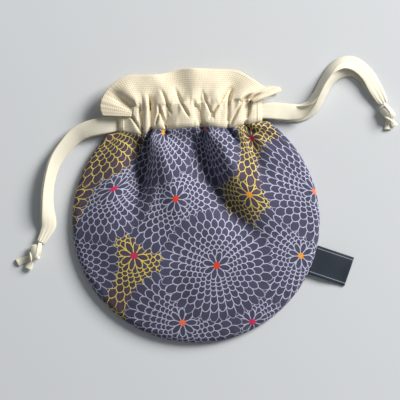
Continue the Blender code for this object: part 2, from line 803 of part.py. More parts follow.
def knot(name, centre, heading_deg, tails, material):
    """Overhand knot that ties the two ends of one tape, with their short tails."""
    heading = math.radians(heading_deg)
    along = Vector((math.cos(heading), math.sin(heading), 0))
    bulge = (KNOT_WRAP_BULGE - KNOT_WRAP_SINK) * KNOT_HEIGHT / KNOT_WIDTH
    place = Vector((*centre, REST_GAP + KNOT_HEIGHT / 2 + bulge))
    body = sphere_lump(name, (KNOT_LENGTH, KNOT_WIDTH, KNOT_HEIGHT), place, heading)
    body.data.materials.append(material)
    tools = [knot_wrap(name + "_wrap", place, heading)]
    root = place + along * 0.2 * KNOT_LENGTH
    for index, (turn_deg, length) in enumerate(tails):
        turn = heading + math.radians(turn_deg)
        lift = index * (KNOT_TAIL_THICKNESS + JOIN_GAP)
        tools.append(knot_tail(f"{name}_tail_{index + 1}", root, turn, length, lift))
    join_to(body, tools)
    return body


def side_label(material):
    """Folded woven label whose open ends meet the side seam."""
    angle = math.radians(LABEL_SEAM_DEG)
    share = (360 + LABEL_SEAM_DEG - LEFT_CORNER_DEG) / (360 + RIGHT_CORNER_DEG - LEFT_CORNER_DEG)
    root = outline_point(angle)
    out = outward(angle)
    across = Vector((-out.y, out.x, 0)) * LABEL_WIDTH / 2
    high = seam_height(share)
    low = REST_GAP + LABEL_FOLD / 2
    apart = (LABEL_FOLD - LABEL_CLOTH) / 2
    upper = []
    lower = []
    for step in range(LABEL_STATIONS + 1):
        reach = step / LABEL_STATIONS
        middle = root + out * (JOIN_GAP + (LABEL_LENGTH - LABEL_FOLD / 2) * reach)
        middle.z = mix(high, low, smooth(1.15 * reach))
        upper.append(middle + Vector((0, 0, apart)))
        lower.append(middle - Vector((0, 0, apart)))
    turn = []
    for degrees in (60, 20, -20, -60):
        bend = math.radians(degrees)
        middle = root + out * (JOIN_GAP + LABEL_LENGTH - LABEL_FOLD / 2 + apart * math.cos(bend))
        middle.z = low + apart * math.sin(bend)
        turn.append(middle)
    line = upper + turn + lower[::-1]

    def build(shape):
        rings = []
        for index, middle in enumerate(line):
            before = line[max(index - 1, 0)]
            after = line[min(index + 1, len(line) - 1)]
            thick = across.cross(after - before).normalized() * LABEL_CLOTH / 2
            rings.append([shape.verts.new(middle + a + b)
                          for a, b in ((across, thick), (-across, thick),
                                       (-across, -thick), (across, -thick))])
        for left, right in zip(rings, rings[1:]):
            bridge(shape, left, right)
        shape.faces.new(rings[0])
        shape.faces.new(rings[-1])
    return solid_from("side_label", build, material)


def finish(name, colour, roughness):
    """Plain material for one kind of cloth."""
    material = bpy.data.materials.new(name)
    material.use_nodes = True
    shader = material.node_tree.nodes["Principled BSDF"]
    shader.inputs["Base Color"].default_value = (*colour, 1)
    shader.inputs["Roughness"].default_value = roughness
    shader.inputs["Metallic"].default_value = 0
    return material


def clear_scene():
    """Remove what the file holds before the pouch is built."""
    for old in list(bpy.data.objects):
        bpy.data.objects.remove(old, do_unlink=True)


def main():
    """Build every piece of the pouch."""
    clear_scene()
    print_cloth = finish("printed_cotton", INDIGO, 0.85)
    cream_cloth = finish("cream_cotton", CREAM, 0.88)
    tape_cloth = finish("cotton_tape", IVORY, 0.8)
    label_cloth = finish("woven_label", LABEL_BLUE, 0.6)
    folds = fold_lines()

    def front_at(point, share, from_mouth):
        return front_height(point, share, from_mouth, folds)

    lining_outer = PANEL_CLOTH + PLY_GAP
    lining_inner = lining_outer + LINING_CLOTH
    front_grid = panel_grid(front_at, 1, 13, 4, True)
    panel("outer_front", front_grid, 0, PANEL_CLOTH, print_cloth)
    panel("lining_front", front_grid, lining_outer, lining_inner, cream_cloth)
    back_grid = panel_grid(back_height, 2, 7, 4, False)
    panel("outer_back", back_grid, 0, PANEL_CLOTH, print_cloth)
    panel("lining_back", back_grid, lining_outer, lining_inner, cream_cloth)
    Band(True).make("band_front", 1, cream_cloth)
    Band(False).make("band_back", 2, cream_cloth)
    drawstring("drawstring_left", LEFT_UPPER_ROUTE, LEFT_LOWER_ROUTE, True, tape_cloth)
    drawstring("drawstring_right", RIGHT_UPPER_ROUTE, RIGHT_LOWER_ROUTE, False, tape_cloth)
    knot("drawstring_left_knot", *LEFT_KNOT, tape_cloth)
    knot("drawstring_right_knot", *RIGHT_KNOT, tape_cloth)
    side_label(label_cloth)


main()
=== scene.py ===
"""Look of a round drawstring pouch that lies flat, its ruffled mouth gathered by two tapes.

Metres, +Z up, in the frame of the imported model. The pouch lies on its back panel. X runs
to the right across it, and Y from its round bottom towards its mouth. The camera looks
straight down on it.

Every sub-assembly is a class with its sizes as fields. The print is a traditional
all-over pattern of chrysanthemum rosettes, laid out by its own lattice, and it follows
the flat cloth, so that it narrows in the gathers.
"""
from __future__ import annotations

import logging
import math
from collections.abc import Callable
from dataclasses import dataclass, field
from enum import Enum
from functools import cached_property

import bmesh
import bpy
import numpy as np
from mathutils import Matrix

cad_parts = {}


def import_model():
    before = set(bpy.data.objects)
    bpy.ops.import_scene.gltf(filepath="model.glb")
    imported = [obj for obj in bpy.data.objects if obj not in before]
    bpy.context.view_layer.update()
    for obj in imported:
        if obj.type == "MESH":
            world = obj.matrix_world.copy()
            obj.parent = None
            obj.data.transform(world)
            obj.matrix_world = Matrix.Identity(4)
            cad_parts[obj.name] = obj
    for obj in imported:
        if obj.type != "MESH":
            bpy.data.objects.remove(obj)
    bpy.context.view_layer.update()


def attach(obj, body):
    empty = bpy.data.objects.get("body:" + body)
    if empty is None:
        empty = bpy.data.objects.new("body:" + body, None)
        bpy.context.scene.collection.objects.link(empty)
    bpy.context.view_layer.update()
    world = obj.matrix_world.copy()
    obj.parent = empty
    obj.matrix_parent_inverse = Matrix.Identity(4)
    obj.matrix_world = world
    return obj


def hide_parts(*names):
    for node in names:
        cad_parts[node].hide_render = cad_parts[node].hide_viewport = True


LOG = logging.getLogger("pouch")
BODY = "root"
CLOTH_MAP = "cloth"
MM = 0.001
WELD = 2e-6
TINY = 1e-9

Array = np.ndarray
Socket = bpy.types.NodeSocket
Faces = list[tuple[int, ...]]
Surface = tuple[Array, Faces, Array]


def srgb(red: int, green: int, blue: int) -> tuple[float, float, float, float]:
    """Turn a display colour into the linear one that a shader takes.

    Args:
        red: Red from 0 to 255.
        green: Green from 0 to 255.
        blue: Blue from 0 to 255.

    Returns:
        Linear red, green and blue, with an alpha of 1.
    """
    linear = []
    for value in (red, green, blue):
        share = value / 255
        linear.append(share / 12.92 if share <= 0.04045 else ((share + 0.055) / 1.055) ** 2.4)
    return (linear[0], linear[1], linear[2], 1.0)


def smooth(value: Array | float) -> Array:
    """Ease a share from 0 to 1."""
    held = np.clip(value, 0.0, 1.0)
    return held * held * (3 - 2 * held)


def mix(start: Array | float, end: Array | float, share: Array | float) -> Array:
    """Blend two values."""
    return start + (end - start) * share


def curve_through(points: Array, steps: int) -> Array:
    """Points on a smooth curve through the given ones.

    Args:
        points: Rows of coordinates that the curve passes through.
        steps: Points for each interval.

    Returns:
        The curve's points, one row each.
    """
    given = np.asarray(points, float)
    held = np.vstack([2 * given[0] - given[1], given, 2 * given[-1] - given[-2]])
    shares = np.arange(steps)[:, None] / steps
    curve = []
    for before, start, end, after in zip(held, held[1:], held[2:], held[3:]):
        curve.append(0.5 * (2 * start + (end - before) * shares
                            + (2 * before - 5 * start + 4 * end - after) * shares ** 2
                            + (3 * start - before - 3 * end + after) * shares ** 3))
    return np.vstack([*curve, given[-1:]])


def unit_rows(vectors: Array) -> Array:
    """Vectors made one long."""
    return vectors / np.maximum(np.linalg.norm(vectors, axis=-1, keepdims=True), TINY)


def line_lengths(line: Array) -> Array:
    """Length of a line up to each of its points."""
    return np.concatenate([[0], np.cumsum(np.linalg.norm(np.diff(line, axis=0), axis=1))])


def bell(away: Array, half: Array | float) -> Array:
    """Bell curve: 1 in its middle and about a third of it at its half width."""
    return np.exp(-(away / half) ** 2)


# Shape of the pouch, which the solids share


@dataclass(frozen=True)
class PouchShape:
    """Surfaces of the pouch from a few sizes, in plan and in height."""

    half_width: float = 0.099
    reach_bottom: float = 0.0967
    reach_top: float = 0.099
    left_corner_deg: float = 133.5
    right_corner_deg: float = 54.5
    edge_height: float = 0.0030
    edge_roll: float = 0.0050
    edge_rise: float = 0.0042
    puff_rise: float = 0.0100
    puff_reach: float = 0.062
    back_mouth_blend: float = 0.030
    corner_share: float = 0.09
    ply_half: float = 0.00115
    join_gap: float = 0.0003
    rest_gap: float = 0.0002
    band_cloth: float = 0.0009
    channel_depth: float = 0.0028
    channel_height: float = 0.01464
    channel_lift: float = 0.0006
    mouth_length: float = 0.1258
    neck_gap: float = 0.0072
    neck_roundness: float = 0.6
    tuft_rise: float = 0.0034
    tuft_fullness: float = 0.45
    tuft_width_fullness: float = 2.6
    tuft_roundness: float = 2.2
    back_tuft_share: float = 0.3
    band_end_dip: float = 0.0004
    band_start: float = 0.052
    band_end: float = 0.9626
    creases: tuple[tuple[float, float], ...] = (
        (0.208, 0.0041), (0.265, 0.0006), (0.357, 0.0019),
        (0.574, 0.0014), (0.746, 0.0039), (0.854, 0.0018))
    seam_dips: tuple[tuple[float, float, float], ...] = (
        (0.208, 0.0034, 0.009), (0.258, 0.0075, 0.014), (0.357, 0.0034, 0.009),
        (0.585, 0.0060, 0.022), (0.746, 0.0048, 0.010), (0.854, 0.0040, 0.012))

    @property
    def back_channel_z(self) -> float:
        """Height of the back channel's middle."""
        return self.rest_gap + self.band_cloth + self.channel_depth / 2

    @property
    def front_channel_end_z(self) -> float:
        """Height of the front channel's middle at its two ends."""
        return self.back_channel_z + self.channel_depth + 2 * self.band_cloth + self.join_gap

    @property
    def corner_height(self) -> float:
        """Height of the side seam where it ends at a corner of the mouth."""
        return (self.back_channel_z + self.front_channel_end_z) / 2

    def reach(self, upper: Array) -> Array:
        """Reach of the round outline towards the mouth or the bottom."""
        return np.where(upper, self.reach_top, self.reach_bottom)

    def outline(self, angle: Array) -> Array:
        """Points of the round outline in plan at these angles."""
        reach = self.reach(np.sin(angle) > 0)
        return np.stack([self.half_width * np.cos(angle), reach * np.sin(angle)], axis=-1)

    def outward(self, angle: Array) -> Array:
        """Unit vectors in plan out of the outline."""
        reach = self.reach(np.sin(angle) > 0)
        return unit_rows(np.stack([np.cos(angle) / self.half_width, np.sin(angle) / reach], axis=-1))

    def inset(self, plan: Array) -> Array:
        """Distance in from the outline."""
        reach = self.reach(plan[..., 1] > 0)
        share = np.hypot(plan[..., 0] / self.half_width, plan[..., 1] / reach)
        return (1 - share) * self.half_width

    def seam_angle(self, share: Array) -> Array:
        """Angle on the outline that a column of the cloth reaches."""
        return np.radians(mix(self.left_corner_deg, 360 + self.right_corner_deg, share))

    def seam_height(self, share: Array) -> Array:
        """Height of the side seam."""
        from_corner = np.minimum(share, 1 - share) / self.corner_share
        return mix(self.corner_height, self.edge_height, smooth(from_corner))

    def mouth_line(self, share: Array) -> Array:
        """Points of the straight line between the mouth's corners."""
        ends = self.outline(np.radians([self.left_corner_deg, self.right_corner_deg]))
        return ends[0] + (ends[1] - ends[0]) * np.asarray(share)[..., None]

    def tuft_span(self) -> tuple[float, ...]:
        """Shares of the mouth where the tufts of the channel begin and end."""
        return (self.band_start, *(share for share, _ in self.creases), self.band_end)

    def tuft(self, share: Array) -> Array:
        """Height of the gathered tufts, from 0 in a crease to 1 on the widest tuft."""
        span = self.tuft_span()
        total = np.zeros_like(share)
        for start, end in zip(span, span[1:]):
            across = np.abs(2 * (share - start) / (end - start) - 1)
            fullness = min(1.0, self.tuft_fullness + self.tuft_width_fullness * (end - start))
            total = np.where(across < 1, fullness * (1 - across ** self.tuft_roundness), total)
        return total

    def mouth_point(self, share: Array) -> Array:
        """Points of the gathered seam between a panel and its band, in plan."""
        stations = np.array([(0.0, 0.0), (self.band_start, self.band_end_dip), *self.creases,
                             (self.band_end, self.band_end_dip), (1.0, 0.0)])
        index = np.clip(np.searchsorted(stations[:, 0], share, side="right") - 1, 0, len(stations) - 2)
        start, end = stations[index], stations[index + 1]
        along = smooth((share - start[..., 0]) / (end[..., 0] - start[..., 0]))
        points = self.mouth_line(share)
        points[..., 1] -= mix(start[..., 1], end[..., 1], along)
        return points

    def swell(self, share: Array) -> Array:
        """Lens shape of the neck, from 0 at a band's end to 1 in its middle."""
        inside = np.clip((share - self.band_start) / (self.band_end - self.band_start), 0, 1)
        return np.sin(np.pi * inside) ** self.neck_roundness

    def channel_z(self, share: Array, front: bool) -> Array:
        """Height of a channel's middle."""
        if not front:
            return np.full_like(share, self.back_channel_z)
        full = self.front_channel_end_z + self.neck_gap + self.back_tuft_share * self.tuft_rise
        return mix(self.front_channel_end_z, full, self.swell(share))

    def seam_z(self, share: Array, front: bool) -> Array:
        """Height of the seam between a panel and its band."""
        side = 1 if front else -1
        corner = self.corner_height + side * (self.join_gap / 2 + self.ply_half)
        tufts = 0.0
        if front:
            dips = sum(depth * bell(share - place, half) for place, depth, half in self.seam_dips)
            tufts = 0.5 * self.tuft_rise * self.tuft(share) - dips
        end_rise = smooth(np.minimum(share, 1 - share) / self.band_start)
        return mix(corner, self.channel_z(share, front) + tufts, end_rise)

    def rolled_edge(self, depth: Array) -> Array:
        """Share of its rise that the cloth has reached this far in from the edge."""
        inside = np.clip(depth / self.edge_roll, 0, 1)
        return np.sqrt(1 - (1 - inside) ** 2)


@dataclass(frozen=True)
class Fold:
    """One fold of cloth in millimetres: a ridge, or a valley where its height is negative."""

    points: tuple[tuple[float, float], ...]
    height: float
    left: float
    right: float
    far: float
    lean: float = 0.0
    start: float = 0.0
    hold: float = 0.0
    spread: float = 1.5

    def fade(self, along: Array) -> Array:
        """Share of the fold's height that is left this far along it."""
        return 1 - smooth((along - self.hold) / (1 - self.hold))


class FoldField:
    """Heights and sideways leans in metres that folds, given in millimetres, add to a cloth."""

    def __init__(self, folds: tuple[Fold, ...]) -> None:
        """Keep the folds with their smooth plan lines."""
        self.folds = [(fold, curve_through(np.array(fold.points) * MM, 8)) for fold in folds]

    @staticmethod
    def beside(line: Array, plan: Array) -> tuple[Array, Array, Array]:
        """Where points lie beside a line, its right seen as that of a line that runs down.

        Args:
            line: Points of a plan line.
            plan: Points to place beside it.

        Returns:
            Share along the line, distance to its right, and the unit vector to its right.
        """
        start = line[:-1]
        run = line[1:] - start
        length = np.linalg.norm(run, axis=1)
        gap = plan[:, None, :] - start[None]
        along = np.clip((gap * run).sum(-1) / length ** 2, 0, 1)
        away = np.linalg.norm(gap - along[..., None] * run, axis=-1)
        best = away.argmin(axis=1)
        rows = np.arange(len(plan))
        right = np.stack([-run[:, 1], run[:, 0]], axis=1) / length[:, None]
        side = (gap[rows, best] * right[best]).sum(-1)
        share = (best + along[rows, best]) / len(run)
        return share, np.copysign(away[rows, best], side), right[best]

    def heights(self, grid: Array) -> Array:
        """Height that the folds add at each plan point of a grid."""
        plan = grid.reshape(-1, 2)
        total = np.zeros(len(plan))
        for fold, line in self.folds:
            along, aside, _ = self.beside(line, plan)
            near = np.where(aside < 0, fold.left, fold.right) * MM
            flank = mix(near, fold.far * MM, along ** fold.spread)
            rise = smooth(along / fold.start) if fold.start else 1.0
            total += fold.height * MM * rise * fold.fade(along) * bell(aside, flank)
        return total.reshape(grid.shape[:-1])

    def leans(self, grid: Array) -> Array:
        """Shift in plan of the cloth that leans over its valley."""
        plan = grid.reshape(-1, 2)
        total = np.zeros_like(plan)
        for fold, line in self.folds:
            if not fold.lean:
                continue
            along, aside, right = self.beside(line, plan)
            width = (fold.right if fold.lean < 0 else fold.left) * MM
            # the crest stands one and a half flanks beside the valley
            crest = bell(aside * np.sign(-fold.lean) - 1.5 * width, 1.3 * width)
            total += right * (fold.lean * MM * crest * fold.fade(along))[:, None]
        return total.reshape(grid.shape)


# Meshes


def mend(mesh: bpy.types.Mesh, weld: bool, outward: bool) -> None:
    """Join the vertices of a mesh that lie on each other, or turn its faces out.

    Args:
        mesh: Mesh to mend.
        weld: Join the vertices.
        outward: Turn the faces out. Without it, faces that the weld closed up are taken out.
    """
    shape = bmesh.new()
    shape.from_mesh(mesh)
    if weld:
        bmesh.ops.remove_doubles(shape, verts=shape.verts, dist=WELD)
    if outward:
        bmesh.ops.recalc_face_normals(shape, faces=shape.faces)
    elif weld:
        bmesh.ops.dissolve_degenerate(shape, edges=shape.edges, dist=WELD / 2)
    shape.to_mesh(mesh)
    shape.free()


def object_from(name: str, surface: Surface, material: bpy.types.Material, weld: bool = False,
                outward: bool = True) -> bpy.types.Object:
    """Make a smooth mesh object with its cloth coordinates.

    Args:
        name: Name of the piece.
        surface: Its vertices, its faces, and each vertex's place on the flat cloth in metres.
        material: Finish of the piece.
        weld: Join vertices that lie on each other.
        outward: Turn the faces out.

    Returns:
        The new object, linked to the scene.
    """
    points, faces, cloth = surface
    mesh = bpy.data.meshes.new(name)
    mesh.from_pydata(points.tolist(), [], faces)
    layer = mesh.uv_layers.new(name=CLOTH_MAP)
    corners = np.zeros(len(mesh.loops), np.int32)
    mesh.loops.foreach_get("vertex_index", corners)
    layer.data.foreach_set("uv", cloth[corners].astype(np.float32).ravel())
    mend(mesh, weld, outward)
    mesh.shade_smooth()
    mesh.materials.append(material)
    piece = bpy.data.objects.new(name, mesh)
    bpy.context.collection.objects.link(piece)
    return piece


def grid_faces(rows: int, columns: int, first: int = 0, flip: bool = False) -> Faces:
    """Quads of a grid whose vertices run row by row."""
    faces = []
    for row in range(rows - 1):
        for column in range(columns - 1):
            start = first + row * columns + column
            quad = (start, start + 1, start + columns + 1, start + columns)
            faces.append(quad[::-1] if flip else quad)
    return faces


def grid_normals(points: Array) -> Array:
    """Unit normals of a grid of points, from its rows and columns."""
    return unit_rows(np.cross(np.gradient(points, axis=1), np.gradient(points, axis=0)))


def grid_places(down: Array, across: Array) -> Array:
    """Places on the flat cloth of a grid, from its lengths down and across."""
    return np.stack(np.broadcast_arrays(down[:, None], across[None]), axis=-1)


def shell_between(outer: Array, inner: Array, cloth: Array, flip: bool) -> Surface:
    """Closed sheet of cloth between two grids of points.

    Args:
        outer: Grid of the outer face's points, rows by columns.
        inner: Grid of the inner face's points.
        cloth: Grid of places on the flat cloth.
        flip: Turn the faces over.

    Returns:
        Its vertices, faces and places on the flat cloth.
    """
    rows, columns = outer.shape[:2]
    count = rows * columns
    faces = grid_faces(rows, columns, 0, flip) + grid_faces(rows, columns, count, not flip)
    numbers = np.arange(count).reshape(rows, columns)
    rim = [*numbers[0], *numbers[1:, -1], *numbers[-1, -2::-1], *numbers[-2:0:-1, 0]]
    rim = [int(number) for number in rim]
    for start, end in zip(rim, rim[1:] + rim[:1]):
        quad = (end, start, start + count, end + count)
        faces.append(quad[::-1] if flip else quad)
    points = np.concatenate([outer.reshape(-1, 3), inner.reshape(-1, 3)])
    return points, faces, np.concatenate([cloth.reshape(-1, 2)] * 2)


def tube(line: Array, side: Array, out: Array, offsets: tuple[Array, Array],
         cloth: Array) -> Surface:
    """Closed tube or tape swept along a line, with flat ends.

    Args:
        line: Points of its middle line.
        side: Unit vector across it at each point.
        out: Unit vector out of its face at each point.
        offsets: How far each vertex of a ring lies to the side, and how far out.
        cloth: Grid of places on the flat cloth.

    Returns:
        Its vertices, faces and places on the flat cloth.
    """
    aside, away = offsets
    grid = line[:, None] + side[:, None] * aside[..., None] + out[:, None] * away[..., None]
    rows, columns = grid.shape[:2]
    faces = grid_faces(rows, columns)
    for start in range(0, (rows - 1) * columns, columns):
        faces.append((start + columns - 1, start, start + columns, start + 2 * columns - 1))
    faces.append(tuple(range(columns))[::-1])
    faces.append(tuple(range((rows - 1) * columns, rows * columns)))
    return grid.reshape(-1, 3), faces, cloth.reshape(-1, 2)


def joined(parts: list[Surface]) -> Surface:
    """Several surfaces as one."""
    faces: Faces = []
    first = 0
    for points, own, _ in parts:
        faces += [tuple(first + corner for corner in face) for face in own]
        first += len(points)
    return np.concatenate([part[0] for part in parts]), faces, np.concatenate([part[2] for part in parts])


def column_lengths(grid: Array) -> Array:
    """Length down each column of a grid up to each of its points."""
    steps = np.linalg.norm(np.diff(grid, axis=0), axis=-1)
    return np.concatenate([np.zeros_like(steps[:1]), np.cumsum(steps, axis=0)])


def pleats(share: Array, pitches: tuple[float, ...], seed: float) -> Array:
    """Irregular pleats from -1 to 1 along the mouth, from a few unlike waves."""
    total = np.zeros_like(share)
    for index, pitch in enumerate(pitches):
        phase = seed + 1.7 * index
        drift = 0.35 * np.sin(2 * np.pi * share * (2.3 + index) + phase)
        total += np.sin(2 * np.pi * pitch * share + phase + drift) / (1 + 0.4 * index)
    return total / len(pitches)


# Shader nodes


class Graph:
    """Short way to lay out the nodes of one shader tree."""

    def __init__(self, tree: bpy.types.NodeTree) -> None:
        """Keep the tree that the nodes go into."""
        self.tree = tree

    def node(self, kind: str, **settings: object) -> bpy.types.Node:
        """Add a node and set its options."""
        node = self.tree.nodes.new(kind)
        for key, value in settings.items():
            setattr(node, key, value)
        return node

    def feed(self, socket: Socket, value: object) -> None:
        """Link a socket to another one, or set its value."""
        if isinstance(value, Socket):
            self.tree.links.new(value, socket)
        else:
            socket.default_value = value

    def math(self, operation: str, *values: object) -> Socket:
        """Number worked out from one to three others."""
        node = self.node("ShaderNodeMath", operation=operation)
        for socket, value in zip(node.inputs, values):
            self.feed(socket, value)
        return node.outputs[0]

    def vector(self, operation: str, *values: object, scale: object = None) -> Socket:
        """Vector, or length of one, worked out from others."""
        node = self.node("ShaderNodeVectorMath", operation=operation)
        for socket, value in zip(node.inputs, values):
            self.feed(socket, value)
        if scale is not None:
            self.feed(node.inputs["Scale"], scale)
        return node.outputs["Value" if operation in ("LENGTH", "DOT_PRODUCT", "DISTANCE") else "Vector"]

    def parts(self, vector: Socket) -> tuple[Socket, ...]:
        """The three numbers of a vector."""
        node = self.node("ShaderNodeSeparateXYZ")
        self.feed(node.inputs[0], vector)
        return tuple(node.outputs)

    def join(self, *values: object) -> Socket:
        """Vector made of three numbers."""
        node = self.node("ShaderNodeCombineXYZ")
        for socket, value in zip(node.inputs, values):
            self.feed(socket, value)
        return node.outputs[0]

    def blend(self, share: object, start: object, end: object, kind: str = "RGBA") -> Socket:
        """Mix of two colours, vectors or numbers."""
        node = self.node("ShaderNodeMix", data_type=kind)
        found = [socket for socket in node.inputs if socket.enabled]
        for socket, value in zip(found, (share, start, end)):
            self.feed(socket, value)
        return next(socket for socket in node.outputs if socket.enabled)

    def noise(self, place: object, scale: float, detail: float = 2.0, output: str = "Fac") -> Socket:
        """Soft random value, or with the output Color a random vector, from 0 to 1."""
        node = self.node("ShaderNodeTexNoise")
        self.feed(node.inputs["Vector"], place)
        node.inputs["Scale"].default_value = scale
        node.inputs["Detail"].default_value = detail
        return node.outputs[output]

    def ribs(self, value: object) -> Socket:
        """Round ribs from 0 to 1, one for each whole number."""
        return self.math("ABSOLUTE", self.math("SINE", self.math("MULTIPLY", value, math.pi)))

    def step(self, value: object, low: float, high: float) -> Socket:
        """Smooth step from 0 at low to 1 at high."""
        node = self.node("ShaderNodeMapRange", interpolation_type="SMOOTHSTEP")
        for socket, given in zip(node.inputs, (value, low, high)):
            self.feed(socket, given)
        return node.outputs[0]

    def group(self, tree: bpy.types.NodeTree, **values: object) -> dict[str, Socket]:
        """Place a group with its values and return its outputs by name."""
        node = self.node("ShaderNodeGroup", node_tree=tree)
        for key, value in values.items():
            self.feed(node.inputs[key.replace("_", " ").capitalize()], value)
        return {socket.name: socket for socket in node.outputs}


class SocketKind(Enum):
    """Kinds of socket that a shader group has."""

    NUMBER = "NodeSocketFloat"
    VECTOR = "NodeSocketVector"
    COLOUR = "NodeSocketColor"


NUMBER, VECTOR, COLOUR = SocketKind


class ShaderGroup:
    """A shader node group under construction, with named inputs and outputs."""

    def __init__(self, name: str, inputs: dict[str, SocketKind], outputs: dict[str, SocketKind]) -> None:
        """Make the group's tree and its sockets."""
        self.tree = bpy.data.node_groups.new(name, "ShaderNodeTree")
        for label, kind in inputs.items():
            self.tree.interface.new_socket(name=label, in_out="INPUT", socket_type=kind.value)
        for label, kind in outputs.items():
            self.tree.interface.new_socket(name=label, in_out="OUTPUT", socket_type=kind.value)
        self.graph = Graph(self.tree)
        self.given = {socket.name: socket for socket in self.graph.node("NodeGroupInput").outputs}
        self.result = self.graph.node("NodeGroupOutput")

    def put(self, label: str, value: object) -> None:
        """Send a value to one of the group's outputs."""
        self.graph.feed(self.result.inputs[label], value)


@dataclass(frozen=True)
class Rosette:
    """Proportions of one printed blossom, in shares of its radius."""

    growth: float = 1.22
    outer_ring: int = 7
    inner_petals: int = 8
    first_petals: int = 15
    more_petals: int = 3
    tip: float = 0.98
    tip_drop: float = 0.50
    centre_radius: float = 0.056
    centre_lobes: int = 8
    line_half: float = 0.0074

    @property
    def inner_radius(self) -> float:
        """Reach of the innermost petals, from which the rings grow."""
        return self.growth ** -self.outer_ring


class Effects:
    """Shader groups that several finishes share, each built once."""

    def __init__(self, rosette: Rosette) -> None:
        """Build every group."""
        self.rosette = rosette
        self.weave = self.make_weave()
        self.mottle = self.make_mottle()
        self.pin_dots = self.make_pin_dots()
        self.layer = self.make_blossom_layer()
        self.rings = self.make_petal_rings()

    @staticmethod
    def make_weave() -> bpy.types.NodeTree:
        """Threads of a plain weave: height and shade from the place on the cloth."""
        made = ShaderGroup("woven_threads", {"Cloth": VECTOR, "Pitch": NUMBER},
                           {"Height": NUMBER, "Shade": NUMBER})
        g = made.graph
        scaled = g.vector("SCALE", made.given["Cloth"], scale=g.math("DIVIDE", 1.0, made.given["Pitch"]))
        across, along, _ = g.parts(scaled)
        warp, weft = g.ribs(across), g.ribs(along)
        cells = g.math("ADD", g.math("FLOOR", across), g.math("FLOOR", along))
        over = g.math("ABSOLUTE", g.math("MODULO", cells, 2.0))
        height = g.math("ADD", g.math("MULTIPLY", warp, over),
                        g.math("MULTIPLY", weft, g.math("SUBTRACT", 1.0, over)))
        slubs = g.noise(g.vector("MULTIPLY", scaled, (0.9, 0.06, 1.0)), 1.0)
        made.put("Height", g.math("MULTIPLY", height, g.math("ADD", 0.6, slubs)))
        made.put("Shade", g.math("ADD", g.math("MULTIPLY", height, 0.16),
                                 g.math("MULTIPLY", slubs, 0.18)))
        return made.tree

    @staticmethod
    def make_mottle() -> bpy.types.NodeTree:
        """Uneven tone of washed cloth: a colour made lighter and darker in soft patches."""
        made = ShaderGroup("cloth_mottle", {"Color": COLOUR, "Cloth": VECTOR, "Amount": NUMBER},
                           {"Color": COLOUR})
        g = made.graph
        broad = g.noise(made.given["Cloth"], 45.0, 3.0)
        fine = g.noise(made.given["Cloth"], 420.0, 2.0)
        both = g.math("ADD", g.math("MULTIPLY", broad, 0.65), g.math("MULTIPLY", fine, 0.35))
        share = g.math("MULTIPLY", g.math("SUBTRACT", both, 0.5), made.given["Amount"])
        tone = g.math("ADD", 1.0, g.math("MULTIPLY", share, 2.0))
        made.put("Color", g.vector("SCALE", made.given["Color"], scale=tone))
        return made.tree

    @staticmethod
    def make_pin_dots() -> bpy.types.NodeTree:
        """Fine printed grid of dots, every other one in a second tint."""
        made = ShaderGroup("pin_dots", {"Cloth": VECTOR, "Pitch": NUMBER, "Radius": NUMBER},
                           {"Dot": NUMBER, "Second": NUMBER})
        g = made.graph
        scaled = g.vector("SCALE", made.given["Cloth"], scale=g.math("DIVIDE", 1.0, made.given["Pitch"]))
        across, along, _ = g.parts(scaled)
        cell = g.join(g.math("SUBTRACT", g.math("FRACT", across), 0.5),
                      g.math("SUBTRACT", g.math("FRACT", along), 0.5), 0.0)
        away = g.vector("LENGTH", cell)
        ragged = g.math("MULTIPLY", g.math("SUBTRACT", g.noise(scaled, 1.3), 0.5), 0.22)
        edge = g.math("ADD", made.given["Radius"], ragged)
        made.put("Dot", g.step(g.math("SUBTRACT", edge, away), -0.06, 0.06))
        cells = g.math("ADD", g.math("FLOOR", across), g.math("MULTIPLY", g.math("FLOOR", along), 2.0))
        made.put("Second", g.math("LESS_THAN", g.math("MODULO", g.math("ABSOLUTE", cells), 5.0), 1.5))
        return made.tree

    def ring_place(self, g: Graph, radius: object) -> Socket:
        """Which ring a point is in, from its distance in radii of the blossom."""
        inner = g.math("DIVIDE", radius, self.rosette.inner_radius)
        outer = g.math("ADD", g.math("LOGARITHM", inner, self.rosette.growth), 1.0)
        return g.math("MAXIMUM", inner, outer)

    def petal_count(self, g: Graph, ring: object) -> Socket:
        """Number of petals of a ring."""
        size = self.rosette
        count = g.math("MULTIPLY_ADD", ring, float(size.more_petals), float(size.first_petals))
        innermost = g.math("LESS_THAN", ring, 0.5)
        return g.math("SUBTRACT", count, g.math("MULTIPLY", innermost,
                                                float(size.first_petals - size.inner_petals)))

    def across_petal(self, g: Graph, ring: object, count: object, angle: object) -> Socket:
        """How far a point is from the middle of its petal: 0 there and 1 at the petal's side."""
        turns = g.math("MULTIPLY", g.math("MULTIPLY", angle, count), 1 / (2 * math.pi))
        shifted = g.math("ADD", turns, g.math("MULTIPLY", g.math("MODULO", ring, 2.0), 0.5))
        return g.math("ABSOLUTE", g.math("MULTIPLY_ADD", g.math("FRACT", shifted), 2.0, -1.0))

    def tip_height(self, g: Graph, across: object) -> Socket:
        """How far up its ring a petal's round tip reaches."""
        dropped = g.math("MULTIPLY", g.math("POWER", across, 2.0), -self.rosette.tip_drop)
        return g.math("MULTIPLY", g.math("ADD", dropped, 1.0), self.rosette.tip)

